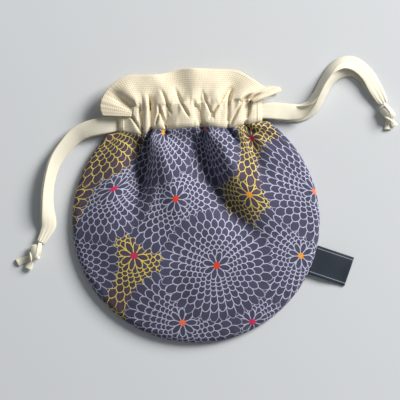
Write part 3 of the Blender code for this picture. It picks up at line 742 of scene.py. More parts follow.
    def make_blossom_layer(self) -> bpy.types.NodeTree:
        """One blossom laid over what is under it, as places measured from its own centre."""
        made = ShaderGroup("blossom_layer",
                           {"Cloth": VECTOR, "Centre": VECTOR, "Radius": NUMBER, "Turn": NUMBER,
                            "Tint": NUMBER, "Below": VECTOR}, {"Top": VECTOR})
        g = made.graph
        size = self.rosette
        offset = g.vector("SUBTRACT", made.given["Cloth"], made.given["Centre"])
        turned = g.node("ShaderNodeVectorRotate", rotation_type="Z_AXIS")
        g.feed(turned.inputs["Vector"], offset)
        g.feed(turned.inputs["Angle"], made.given["Turn"])
        scaled = g.vector("SCALE", turned.outputs[0], scale=g.math("DIVIDE", 1.0, made.given["Radius"]))
        x, y, _ = g.parts(scaled)
        place = self.ring_place(g, g.vector("LENGTH", g.join(x, y, 0.0)))
        angle = g.math("ARCTAN2", y, x)
        outermost = float(size.first_petals + size.more_petals * size.outer_ring)
        across = self.across_petal(g, float(size.outer_ring), outermost, angle)
        beyond = g.math("SUBTRACT", place, float(size.outer_ring))
        inside = g.math("LESS_THAN", beyond, self.tip_height(g, across))
        made.put("Top", g.blend(inside, made.given["Below"], g.join(x, y, made.given["Tint"]), "VECTOR"))
        return made.tree

    def make_petal_rings(self) -> bpy.types.NodeTree:
        """Rings of petals drawn in outline, the inner ones over the outer ones."""
        made = ShaderGroup("petal_rings", {"Local": VECTOR},
                           {"Line": NUMBER, "Centre": NUMBER, "Gold": NUMBER, "Hue": NUMBER,
                            "Petal": NUMBER})
        g = made.graph
        size = self.rosette
        x, y, tint = g.parts(made.given["Local"])
        radius = g.math("MAXIMUM", g.vector("LENGTH", g.join(x, y, 0.0)), 0.001)
        angle = g.math("ARCTAN2", y, x)
        place = self.ring_place(g, radius)
        ring = g.math("FLOOR", place)
        count = self.petal_count(g, ring)
        across = self.across_petal(g, ring, count, angle)
        over = g.math("SUBTRACT", g.math("FRACT", place), self.tip_height(g, across))
        # distance to the petal's round tip, from the slope of its outline
        innermost = g.math("LESS_THAN", ring, 0.5)
        spacing = g.math("MULTIPLY", radius, math.log(size.growth))
        spacing = g.math("MULTIPLY_ADD", innermost, g.math("SUBTRACT", size.inner_radius, spacing), spacing)
        half_petal = g.math("DIVIDE", g.math("MULTIPLY", radius, math.pi), count)
        slope_up = g.math("DIVIDE", 1.0, spacing)
        steepest = g.math("MULTIPLY", across, 2 * size.tip * size.tip_drop)
        slope_across = g.math("DIVIDE", steepest, half_petal)
        slope = g.math("SQRT", g.math("MULTIPLY_ADD", slope_up, slope_up,
                                      g.math("MULTIPLY", slope_across, slope_across)))
        tip_gap = g.math("DIVIDE", g.math("ABSOLUTE", over), slope)
        ragged = g.math("MULTIPLY_ADD", g.noise(g.join(x, y, tint), 26.0, 1.0), 0.9, 0.55)
        half = g.math("MULTIPLY", ragged, size.line_half)
        soft = 0.25 * size.line_half
        tip_line = g.step(g.math("SUBTRACT", half, tip_gap), -soft, soft)
        after = g.math("ADD", ring, 1.0)
        next_count = self.petal_count(g, after)
        next_across = self.across_petal(g, after, next_count, angle)
        next_half = g.math("DIVIDE", g.math("MULTIPLY", radius, math.pi), next_count)
        outside = g.math("GREATER_THAN", over, 0.0)
        side_gap = g.blend(outside, g.math("MULTIPLY", g.math("SUBTRACT", 1.0, across), half_petal),
                           g.math("MULTIPLY", g.math("SUBTRACT", 1.0, next_across), next_half), "FLOAT")
        side_line = g.step(g.math("SUBTRACT", half, side_gap), -soft, soft)
        line = g.math("MAXIMUM", tip_line, side_line)
        made.put("Line", line)
        lobes = g.math("COSINE", g.math("MULTIPLY", angle, float(size.centre_lobes)))
        dot_reach = g.math("MULTIPLY_ADD", lobes, 0.10 * size.centre_radius, size.centre_radius)
        made.put("Centre", g.step(g.math("SUBTRACT", dot_reach, radius), -0.006, 0.006))
        made.put("Gold", g.math("GREATER_THAN", tint, 0.99))
        made.put("Hue", g.math("FRACT", tint))
        owner = g.math("ADD", ring, outside)
        white = g.node("ShaderNodeTexWhiteNoise", noise_dimensions="2D")
        petal_index = g.math("FLOOR", g.math("MULTIPLY", g.math("ADD", angle, math.pi),
                                             g.math("MULTIPLY_ADD", owner, 0.48, 1.27)))
        g.feed(white.inputs["Vector"], g.join(owner, petal_index, 0.0))
        made.put("Petal", white.outputs["Value"])
        return made.tree


@dataclass(frozen=True)
class Finish:
    """Base of a cloth finish: a Principled BSDF fed by the cloth's own coordinates."""

    name: str
    roughness: float = 0.85
    specular: float = 0.25
    sheen: float = 0.15
    sheen_roughness: float = 0.5
    bump: float = 0.25
    bump_depth: float = 0.00012
    mottle: float = 0.10

    def look(self, g: Graph, cloth: Socket, effects: Effects) -> tuple[Socket, ...]:
        """Colour and height of the cloth, which each finish draws in its own way.

        Args:
            g: Graph of the material.
            cloth: Places on the flat cloth.
            effects: The shared shader groups.

        Returns:
            The sockets of the colour and of the height.
        """
        raise NotImplementedError

    def build(self, effects: Effects) -> bpy.types.Material:
        """Make the material: its look, the mottle of worn cloth and its raised threads."""
        material = bpy.data.materials.new(self.name)
        material.use_nodes = True
        g = Graph(material.node_tree)
        shader = material.node_tree.nodes["Principled BSDF"]
        for label, value in (("Roughness", self.roughness), ("Metallic", 0.0),
                             ("Specular IOR Level", self.specular), ("Sheen Weight", self.sheen),
                             ("Sheen Roughness", self.sheen_roughness)):
            shader.inputs[label].default_value = value
        cloth = g.node("ShaderNodeUVMap", uv_map=CLOTH_MAP).outputs[0]
        colour, height = self.look(g, cloth, effects)
        toned = g.group(effects.mottle, color=colour, cloth=cloth, amount=self.mottle)
        g.feed(shader.inputs["Base Color"], toned["Color"])
        bump = g.node("ShaderNodeBump")
        bump.inputs["Strength"].default_value = self.bump
        bump.inputs["Distance"].default_value = self.bump_depth
        g.feed(bump.inputs["Height"], height)
        g.feed(shader.inputs["Normal"], bump.outputs[0])
        return material


@dataclass(frozen=True)
class PrintedCotton(Finish):
    """Indigo cotton printed with chrysanthemum rosettes in outline."""

    ground: tuple[float, ...] = srgb(72, 71, 94)
    gold_ground: tuple[float, ...] = srgb(82, 69, 86)
    line: tuple[float, ...] = srgb(192, 195, 218)
    gold_line: tuple[float, ...] = srgb(232, 212, 104)
    centres: tuple[tuple[float, ...], ...] = (
        srgb(205, 45, 95), srgb(238, 115, 88), srgb(228, 155, 55), srgb(226, 62, 34))
    pitch: float = 0.0004
    radius: float = 0.0465
    radius_change: float = 0.0022
    column_pitch: float = 0.064
    row_pitch: float = 0.052
    first: tuple[float, float] = (-0.171, -0.128)
    rows: int = 6
    columns: int = 6
    drift: float = 0.0045
    gold_every: int = 3
    golden_angle: float = 2.399963
    stride: int = 7
    hue_step: float = 0.2
    wander_scale: float = 60.0
    wander_reach: float = 0.0022
    ink: float = 0.94
    bare_place: tuple[float, float, float] = (0.9, 0.4, 0.1)

    def blossoms(self) -> list[tuple[tuple[float, float, float], float, float, float]]:
        """Lay out the blossoms on a shifted lattice, in the order in which they overlap.

        Returns:
            Centre, radius, turn and tint code of each blossom. The code's whole part says
            gold, and its fraction the colour of the centre.
        """
        laid = []
        for row in range(self.rows):
            for column in range(self.columns):
                index = row * self.columns + column
                wander = self.golden_angle * index
                x = self.first[0] + (column + 0.5 * (row % 2)) * self.column_pitch
                y = self.first[1] + row * self.row_pitch
                centre = (x + self.drift * math.cos(wander), y + self.drift * math.sin(wander), 0.0)
                radius = self.radius + self.radius_change * math.sin(1.9 * index)
                gold = (column + 2 * row) % self.gold_every == 0
                hue = self.hue_step * (0.5 + (index * 3 + row) % len(self.centres))
                laid.append((centre, radius, wander, gold + hue))
        return [laid[(index * self.stride) % len(laid)] for index in range(len(laid))]

    def look(self, g: Graph, cloth: Socket, effects: Effects) -> tuple[Socket, ...]:
        """Blossoms over each other, drawn in outline on the woven ground."""
        wander = g.noise(cloth, self.wander_scale, 1.0, "Color")
        warp = g.vector("SCALE", g.vector("SUBTRACT", wander, (0.5, 0.5, 0.5)), scale=self.wander_reach)
        place = g.vector("ADD", cloth, warp)
        top: object = self.bare_place
        for centre, radius, turn, tint in self.blossoms():
            top = g.group(effects.layer, cloth=place, centre=centre, radius=radius, turn=turn,
                          tint=tint, below=top)["Top"]
        drawn = g.group(effects.rings, local=top)
        ground = g.blend(drawn["Gold"], self.ground, self.gold_ground)
        fill = g.vector("SCALE", ground, scale=g.math("MULTIPLY_ADD", drawn["Petal"], 0.22, 0.89))
        line = g.blend(drawn["Gold"], self.line, self.gold_line)
        inked = g.blend(g.math("MULTIPLY", drawn["Line"], self.ink), fill, line)
        dotted = g.blend(drawn["Centre"], inked, self.centre_colour(g, drawn["Hue"]))
        threads = g.group(effects.weave, cloth=cloth, pitch=self.pitch)
        shade = g.math("ADD", 0.86, threads["Shade"])
        return g.vector("SCALE", dotted, scale=shade), threads["Height"]

    def centre_colour(self, g: Graph, hue: Socket) -> Socket:
        """Colour of a blossom's centre from its code."""
        ramp = g.node("ShaderNodeValToRGB")
        ramp.color_ramp.interpolation = "CONSTANT"
        stops = ramp.color_ramp.elements
        while len(stops) < len(self.centres):
            stops.new(1.0)
        for index, colour in enumerate(self.centres):
            stops[index].position = self.hue_step * index
            stops[index].color = colour
        g.feed(ramp.inputs[0], hue)
        return ramp.outputs[0]


@dataclass(frozen=True)
class DottedCotton(Finish):
    """Cream cotton with a fine printed grid of pin dots."""

    cloth: tuple[float, ...] = srgb(238, 228, 203)
    dot: tuple[float, ...] = srgb(188, 158, 116)
    second_dot: tuple[float, ...] = srgb(170, 158, 146)
    pitch: float = 0.0005
    dot_pitch: float = 0.0016
    dot_radius: float = 0.27

    def look(self, g: Graph, cloth: Socket, effects: Effects) -> tuple[Socket, ...]:
        """Printed dots, worn here and there, on the woven ground."""
        dots = g.group(effects.pin_dots, cloth=cloth, pitch=self.dot_pitch, radius=self.dot_radius)
        tint = g.blend(dots["Second"], self.dot, self.second_dot)
        worn = g.math("MULTIPLY_ADD", g.noise(cloth, 160.0), 0.9, 0.22)
        printed = g.blend(g.math("MULTIPLY", dots["Dot"], worn), self.cloth, tint)
        threads = g.group(effects.weave, cloth=cloth, pitch=self.pitch)
        return g.vector("SCALE", printed, scale=g.math("ADD", 0.86, threads["Shade"])), threads["Height"]


@dataclass(frozen=True)
class TwillTape(Finish):
    """Natural cotton tape in herringbone twill, with a firm edge."""

    cotton: tuple[float, ...] = srgb(237, 233, 216)
    shadow: tuple[float, ...] = srgb(232, 223, 198)
    pitch: float = 0.0009
    column: float = 0.0033

    def look(self, g: Graph, cloth: Socket, effects: Effects) -> tuple[Socket, ...]:
        """Slanting ribs that turn back at each column."""
        along, across, _ = g.parts(cloth)
        zigzag = g.math("PINGPONG", across, self.column)
        ribs = g.ribs(g.math("DIVIDE", g.math("ADD", along, zigzag), self.pitch))
        return g.blend(g.math("MULTIPLY_ADD", ribs, 0.75, 0.25), self.shadow, self.cotton), ribs


@dataclass(frozen=True)
class WovenLabel(Finish):
    """Dark satin-woven label with plain lighter stripes near its long edges."""

    ground: tuple[float, ...] = srgb(42, 50, 62)
    stripe: tuple[float, ...] = srgb(150, 160, 172)
    pitch: float = 0.00035
    half_width: float = 0.012
    stripe_in: float = 0.0022
    stripe_half: float = 0.00028
    stripe_soft: float = 0.0001

    def look(self, g: Graph, cloth: Socket, effects: Effects) -> tuple[Socket, ...]:
        """Satin ground with a woven stripe along each edge."""
        _, across, _ = g.parts(cloth)
        from_edge = g.math("SUBTRACT", self.half_width - self.stripe_in, g.math("ABSOLUTE", across))
        band = g.step(g.math("SUBTRACT", self.stripe_half, g.math("ABSOLUTE", from_edge)),
                      -self.stripe_soft, self.stripe_soft)
        threads = g.group(effects.weave, cloth=cloth, pitch=self.pitch)
        broken = g.math("MULTIPLY", band, g.math("ADD", 0.45, g.math("MULTIPLY", threads["Shade"], 1.8)))
        striped = g.blend(broken, self.ground, self.stripe)
        return g.vector("SCALE", striped, scale=g.math("ADD", 0.80, threads["Shade"])), threads["Height"]


@dataclass(frozen=True)
class SewingThread(Finish):
    """Fine sewing thread."""

    thread: tuple[float, ...] = srgb(232, 222, 196)
    pitch: float = 0.00025

    def look(self, g: Graph, cloth: Socket, effects: Effects) -> tuple[Socket, ...]:
        """Plies twisted round each other."""
        along, across, _ = g.parts(cloth)
        plies = g.ribs(g.math("DIVIDE", g.math("ADD", along, across), self.pitch))
        shade = g.math("MULTIPLY_ADD", plies, 0.3, 0.7)
        return g.vector("SCALE", g.join(*self.thread[:3]), scale=shade), plies


@dataclass(frozen=True)
class Finishes:
    """The finishes of the pouch as materials."""

    printed: bpy.types.Material
    dotted: bpy.types.Material
    tape: bpy.types.Material
    label: bpy.types.Material
    thread: bpy.types.Material

    @classmethod
    def build(cls) -> Finishes:
        """Make every material of the pouch."""
        effects = Effects(Rosette())
        return cls(
            printed=PrintedCotton("printed_cotton_look", sheen=0.12).build(effects),
            dotted=DottedCotton("cream_cotton_look", bump=0.3, bump_depth=0.00018,
                                mottle=0.08).build(effects),
            tape=TwillTape("cotton_tape_look", roughness=0.8, mottle=0.07).build(effects),
            label=WovenLabel("woven_label_look", roughness=0.55).build(effects),
            thread=SewingThread("thread_look", roughness=0.7, mottle=0.05).build(effects))


def settle(piece: bpy.types.Object, slot: str, *nodes: str) -> bpy.types.Object:
    """Tie a finished piece to the pouch's body and hide the nodes that it replaces."""
    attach(piece, BODY)
    if nodes:
        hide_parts(*nodes)
    LOG.info("%s stands for %s", piece.name, ", ".join(nodes) or "no node")
    return piece


# Sub-assemblies


class FlatCloth:
    """Where points of the puffed cloth lie once it is smoothed out flat."""

    half: float = 0.104
    step: float = 0.001
    steepest: float = 2.2

    def __init__(self, relief: Callable[[Array], Array]) -> None:
        """Measure the slack of the cloth along lines across and up it.

        Args:
            relief: Height of the cloth at points in plan.
        """
        ticks = np.arange(-self.half, self.half + self.step, self.step)
        height = relief(np.stack(np.meshgrid(ticks, ticks), axis=-1))
        self.slack = []
        for axis in (1, 0):
            slope = np.clip(np.gradient(height, self.step, axis=axis), -self.steepest, self.steepest)
            extra = np.cumsum((np.sqrt(1 + slope ** 2) - 1) * self.step, axis=axis)
            middle = np.take(extra, [len(ticks) // 2], axis=axis)
            self.slack.append(extra - middle)

    def places(self, plan: Array) -> Array:
        """Flat places of points in plan."""
        count = len(self.slack[0])
        at = np.clip((plan + self.half) / self.step, 0, count - 1.001)
        low = at.astype(int)
        share = at - low
        column, row = low[..., 0], low[..., 1]
        across, up = share[..., 0], share[..., 1]
        flat = plan.copy()
        for axis, table in enumerate(self.slack):
            lower = mix(table[row, column], table[row, column + 1], across)
            upper = mix(table[row + 1, column], table[row + 1, column + 1], across)
            flat[..., axis] += mix(lower, upper, up)
        return flat


@dataclass(frozen=True)
class Layer:
    """One sheet of the body: its grid, and where it is cut from the flat cloth."""

    name: str
    node: str
    front: bool
    columns: int
    rows: int
    cut: tuple[float, float] = (0.0, 0.0)
    lining: bool = False


@dataclass
class PouchBody:
    """Printed front and back panels with their cream linings."""

    shape: PouchShape
    finishes: Finishes
    layers: tuple[Layer, ...] = (
        Layer("front_panel", "outer_front", True, 240, 120, (0.004, 0.006)),
        Layer("back_panel", "outer_back", False, 120, 60, (0.031, -0.012)),
        Layer("front_lining", "lining_front", True, 140, 70, lining=True),
        Layer("back_lining", "lining_back", False, 100, 50, lining=True))
    edge_rows: int = 12
    edge_roll_share: float = 1.25
    row_growth: float = 1.12
    corner_crowding: float = 0.11
    cloth_thickness: float = 0.0008
    lining_depth: float = 0.0013
    gathering: float = 0.38
    gather_reach: float = 0.040
    gather_half: float = 0.040
    gather_fade: float = 0.025
    flat_diameter: float = 0.216
    flat_share: float = 0.75
    mouth_blend: float = 0.0075
    least_rise: float = 0.0012
    full_depth: float = 0.012
    pleat_rise: float = 0.0013
    pleat_fade: float = 0.016
    pucker_rise: float = 0.00030
    pucker_count: int = 62
    pucker_place: tuple[float, float] = (0.0045, 0.0040)
    wave_rise: float = 0.0004
    wave_pitch: tuple[float, float] = (0.023, 0.027)
    lean_depth: float = 0.02
    lean_start: float = 0.006
    back_pleat_rise: float = 0.0005
    back_pleat_fade: float = 0.014
    back_pucker_rise: float = 0.0002
    back_pucker_place: tuple[float, float] = (0.0035, 0.0030)
    folds: tuple[Fold, ...] = (
        # deep fold under the second crease, whose right side leans over it
        Fold(((-34.6, 80), (-34.6, 66), (-36.2, 52), (-39.5, 37), (-45, 21), (-53, 2), (-60, -18)),
             -15.5, 14.5, 1.9, 15, lean=-4.5, hold=0.35, spread=3.0),
        # short fold at the left end of the channel
        Fold(((-42, 72), (-47, 46)), -3.2, 4.0, 3.0, 6, lean=-0.8),
        # short fold under the third crease
        Fold(((-23.2, 76), (-21, 66), (-16, 58)), -3.6, 2.6, 2.6, 5, lean=-0.8),
        # broad valley from the middle down to the right
        Fold(((3, 78), (8, 50), (26, 14), (46, -12), (66, -34)),
             -14.0, 11.0, 4.6, 16, lean=-2.5, hold=0.30),
        # small crease and long valley at the right of the channel
        Fold(((26, 78), (31, 66), (34, 54)), -3.6, 2.2, 2.2, 4, lean=-0.6),
        Fold(((37, 79), (45, 56), (52, 38), (62, 24)), -7.0, 2.4, 6.0, 12, lean=2.0, spread=2.5),
        Fold(((44, 76), (60, 66), (72, 58)), -3.4, 3.5, 4.0, 8),
        # ridges between the valleys
        Fold(((-29, 78), (-26, 50), (-14, 12), (2, -30)), 9.4, 6.0, 9.0, 16),
        Fold(((14, 77), (27, 48), (34, 36), (52, 16), (73, -8)), 8.0, 6.0, 6.5, 13),
        Fold(((32, 78), (41, 56), (42, 40)), 2.6, 4.0, 2.6, 8),
        Fold(((-54, 76), (-61, 52), (-70, 22), (-76, -8)), 4.2, 13.0, 8.0, 14),
        Fold(((52, 78), (80, 40)), 2.0, 9.0, 9.0, 14),
        # slight hollows low on the panel
        Fold(((-10, -34), (-13, -58), (-6, -76), (8, -84)), -1.3, 8.0, 8.0, 12, start=0.3),
        Fold(((-82, -14), (-70, -40), (-50, -62)), -0.8, 8.0, 8.0, 12, start=0.4),
        Fold(((84, -4), (74, -34), (56, -60)), 1.0, 8.0, 8.0, 12, start=0.4),
    )

    def grid_shares(self, columns: int) -> Array:
        """Shares of the mouth at the columns, closer together near the corners."""
        even = np.linspace(0, 1, columns)
        return even - self.corner_crowding * np.sin(2 * np.pi * even) / (2 * np.pi)

    def plan(self, columns: int, rows: int) -> tuple[Array, Array, Array]:
        """Lay out the columns that fan from the gathered mouth to the round edge.

        Args:
            columns: Columns of the grid.
            rows: Rows down to where the edge begins to roll.

        Returns:
            Plan points, shares of the mouth and distances from the mouth, rows by columns.
        """
        shape = self.shape
        share = self.grid_shares(columns)
        rim = shape.outline(shape.seam_angle(share))
        top = shape.mouth_point(share)
        length = np.linalg.norm(rim - top, axis=1)
        roll = np.minimum(self.edge_roll_share * shape.edge_roll, 0.5 * length)
        down = (np.linspace(0, 1, rows + 1) ** self.row_growth)[:, None] * (length - roll)
        turn = np.linspace(0, np.pi / 2, self.edge_rows + 1)[1:, None]
        round_edge = length - roll * (1 - np.sin(turn))
        place = np.vstack([down, round_edge])
        points = top[None] + unit_rows(rim - top)[None] * place[..., None]
        return points, np.broadcast_to(share, place.shape), place

    @cached_property
    def fold_field(self) -> FoldField:
        """The folds, ready to be measured."""
        return FoldField(self.folds)

    def front_points(self, columns: int, rows: int, fine: bool) -> Array:
        """Points of the front panel's outer face.

        Args:
            columns: Columns of the grid.
            rows: Rows of the grid.
            fine: Add the small pleats and puckers too.

        Returns:
            The grid of points.
        """
        shape = self.shape
        plan, share, place = self.plan(columns, rows)
        depth = shape.inset(plan)
        seam = shape.seam_height(share)
        z = np.maximum(seam + self.relief(plan), seam + self.least_rise * smooth(depth / shape.edge_roll))
        if fine:
            fading = np.exp(-place / self.pleat_fade) * smooth(depth / self.full_depth)
            z += self.pleat_rise * fading * pleats(share, (13, 19, 31), 0.4)
            around = np.sin(self.pucker_count * 2 * np.pi * share
                            + 1.3 * np.sin(9 * np.pi * share))
            inward, half = self.pucker_place
            z += self.pucker_rise * bell(depth - inward, half) * around
            z += self.wave_rise * smooth(depth / self.lean_depth) * self.soft_waves(plan)
        mouth = shape.seam_z(share, True) + shape.ply_half
        z = mix(z, mouth, bell(place, self.mouth_blend))
        leans = self.fold_field.leans(plan)
        leans *= (smooth(depth / self.lean_depth) * smooth(place / self.lean_start))[..., None]
        return np.concatenate([plan + leans, z[..., None]], axis=-1)

    def relief(self, plan: Array) -> Array:
        """Height of the puffed and folded front over its seam."""
        shape = self.shape
        depth = shape.inset(plan)
        puff = shape.puff_rise * np.sin(np.pi / 2 * np.clip(depth / shape.puff_reach, 0, 1))
        rolled = shape.edge_rise * shape.rolled_edge(depth)
        return rolled + puff + self.fold_field.heights(plan) * smooth(depth / (3 * shape.edge_roll))

    def soft_waves(self, plan: Array) -> Array:
        """Slight unevenness of cloth that lies over soft layers."""
        x, y = plan[..., 0] / self.wave_pitch[0], plan[..., 1] / self.wave_pitch[1]
        return (np.sin(x + 1.3 * np.sin(y)) + np.sin(1.7 * y + 0.8 * np.sin(1.4 * x) + 1.1)) / 2

    def back_points(self, columns: int, rows: int) -> Array:
        """Points of the back panel's outer face, flat on the surface inside its edge."""
        shape = self.shape
        plan, share, place = self.plan(columns, rows)
        depth = shape.inset(plan)
        z = shape.seam_height(share) * (1 - shape.rolled_edge(depth))
        mouth = shape.seam_z(share, False) - shape.ply_half
        z = mix(z, mouth, 1 - smooth(place / shape.back_mouth_blend))
        fading = np.exp(-place / self.back_pleat_fade) * smooth(depth / self.full_depth)
        z += self.back_pleat_rise * fading * (1 + pleats(share, (11, 17, 29), 2.1))
        around = np.sin(self.pucker_count * 2 * np.pi * share + 1.1)
        inward, half = self.back_pucker_place
        z += self.back_pucker_rise * bell(depth - inward, half) * (1 + around)
        return np.concatenate([plan, z[..., None]], axis=-1)

    def flat_cloth(self, points: Array, shift: tuple[float, float], side: int) -> Array:
        """Places on the flat cloth, which is fuller towards the gathered mouth.

        Args:
            points: Grid of the face's points.
            shift: Where the panel's middle is cut from the printed cloth.
            side: 1 where the face is seen from above, and -1 from below.

        Returns:
            Grid of places on the flat cloth.
        """
        plan = points[..., :2]
        flat = FlatCloth(self.relief).places(plan) if side > 0 else plan.copy()
        corners = self.shape.mouth_line(np.array([0.0, 1.0]))
        top = np.interp(plan[..., 0], corners[:, 0], corners[:, 1])
        closeness = np.exp(-(np.clip(top - plan[..., 1], 0, None) / self.gather_reach) ** 1.5)
        ticks = np.linspace(0, 0.11, 111)
        gathered = np.cumsum(1 - smooth((ticks - self.gather_half) / self.gather_fade)) * ticks[1]
        gain = np.interp(np.abs(plan[..., 0]), ticks, gathered) * np.sign(plan[..., 0])
        flat[..., 0] += self.gathering * closeness * gain
        flat[..., 0] *= side
        return flat + np.array(shift)

    def build(self) -> None:
        """Make the two printed panels and their linings."""
        for layer in self.layers:
            side = 1 if layer.front else -1
            if layer.front:
                points = self.front_points(layer.columns, layer.rows, not layer.lining)
            else:
                points = self.back_points(layer.columns, layer.rows)
            inward = -self.edge_normals(points, side)
            under, finish, slot = 0.0, self.finishes.printed, "printed_cotton"
            if layer.lining:
                under, finish, slot = self.lining_depth, self.finishes.dotted, "cream_cotton"
            outer, inner = points + inward * under, points + inward * (under + self.cloth_thickness)
            cloth = self.flat_cloth(points, layer.cut, side)
            surface = shell_between(outer, inner, cloth, side < 0)
            piece = object_from(layer.name, surface, finish, weld=True, outward=False)
            settle(piece, slot, layer.node)

    def edge_normals(self, points: Array, side: int) -> Array:
        """Normals of a panel's outer face, level where it meets the side seam."""
        normals = grid_normals(points)
        normals = normals * np.sign(normals[..., 2].mean()) * side
        out = self.shape.outward(self.shape.seam_angle(self.grid_shares(points.shape[1])))
        normals[-1, :, :2] = out
        normals[-1, :, 2] = 0
        normals[0] = (0, 0, side)
        normals[:, 0] = np.append(out[0], 0)
        normals[:, -1] = np.append(out[-1], 0)
        return normals


@dataclass(frozen=True)
class Wrinkles:
    """Small irregular gathers that rise and fade away from the mouth's seam."""

    count: int = 25
    seed: int = 11
    widths: tuple[float, float] = (0.0060, 0.022)
    rise: float = 0.0013
    skew: float = 0.060
    reach: tuple[float, float] = (0.15, 0.95)
    foot: tuple[float, float] = (0.5, 1.8)
    first: float = 0.05
    span: float = 0.92
    widening: float = 1.1

    def heights(self, share: Array, level: Array) -> Array:
        """Heights at shares of the mouth.

        Args:
            share: Shares of the mouth.
            level: -1 at the seam, 0 where the ruffle begins and 1 at its edge.

        Returns:
            Height of the gathers at each point.
        """
        chance = np.random.RandomState(self.seed)
        total = np.zeros(np.broadcast_shapes(share.shape, level.shape))
        for index in range(self.count):
            place = self.first + self.span * (index + chance.uniform(-0.45, 0.45)) / self.count
            width = chance.uniform(*self.widths)
            rise = self.rise * chance.uniform(0.3, 1.0) * (1 if index % 2 else -1)
            skew = chance.uniform(-self.skew, self.skew)
            reach = chance.uniform(*self.reach)
            foot = chance.uniform(*self.foot)
            width = width * (1 + self.widening * np.clip(level, 0, 1))
            away = np.abs(share - place - skew * level) / width
            fade = (1 - smooth(level / reach)) * (1 - smooth(-level / foot))
            total += rise * np.exp(-away ** 1.6) * fade
        return total


@dataclass(frozen=True)
class RuffleStation:
    """Where the ruffle's foot and edge lie at one share of the mouth, in millimetres."""

    share: float
    edge: tuple[float, float, float]
    foot: tuple[float, float, float]
    natural: float = 1.0


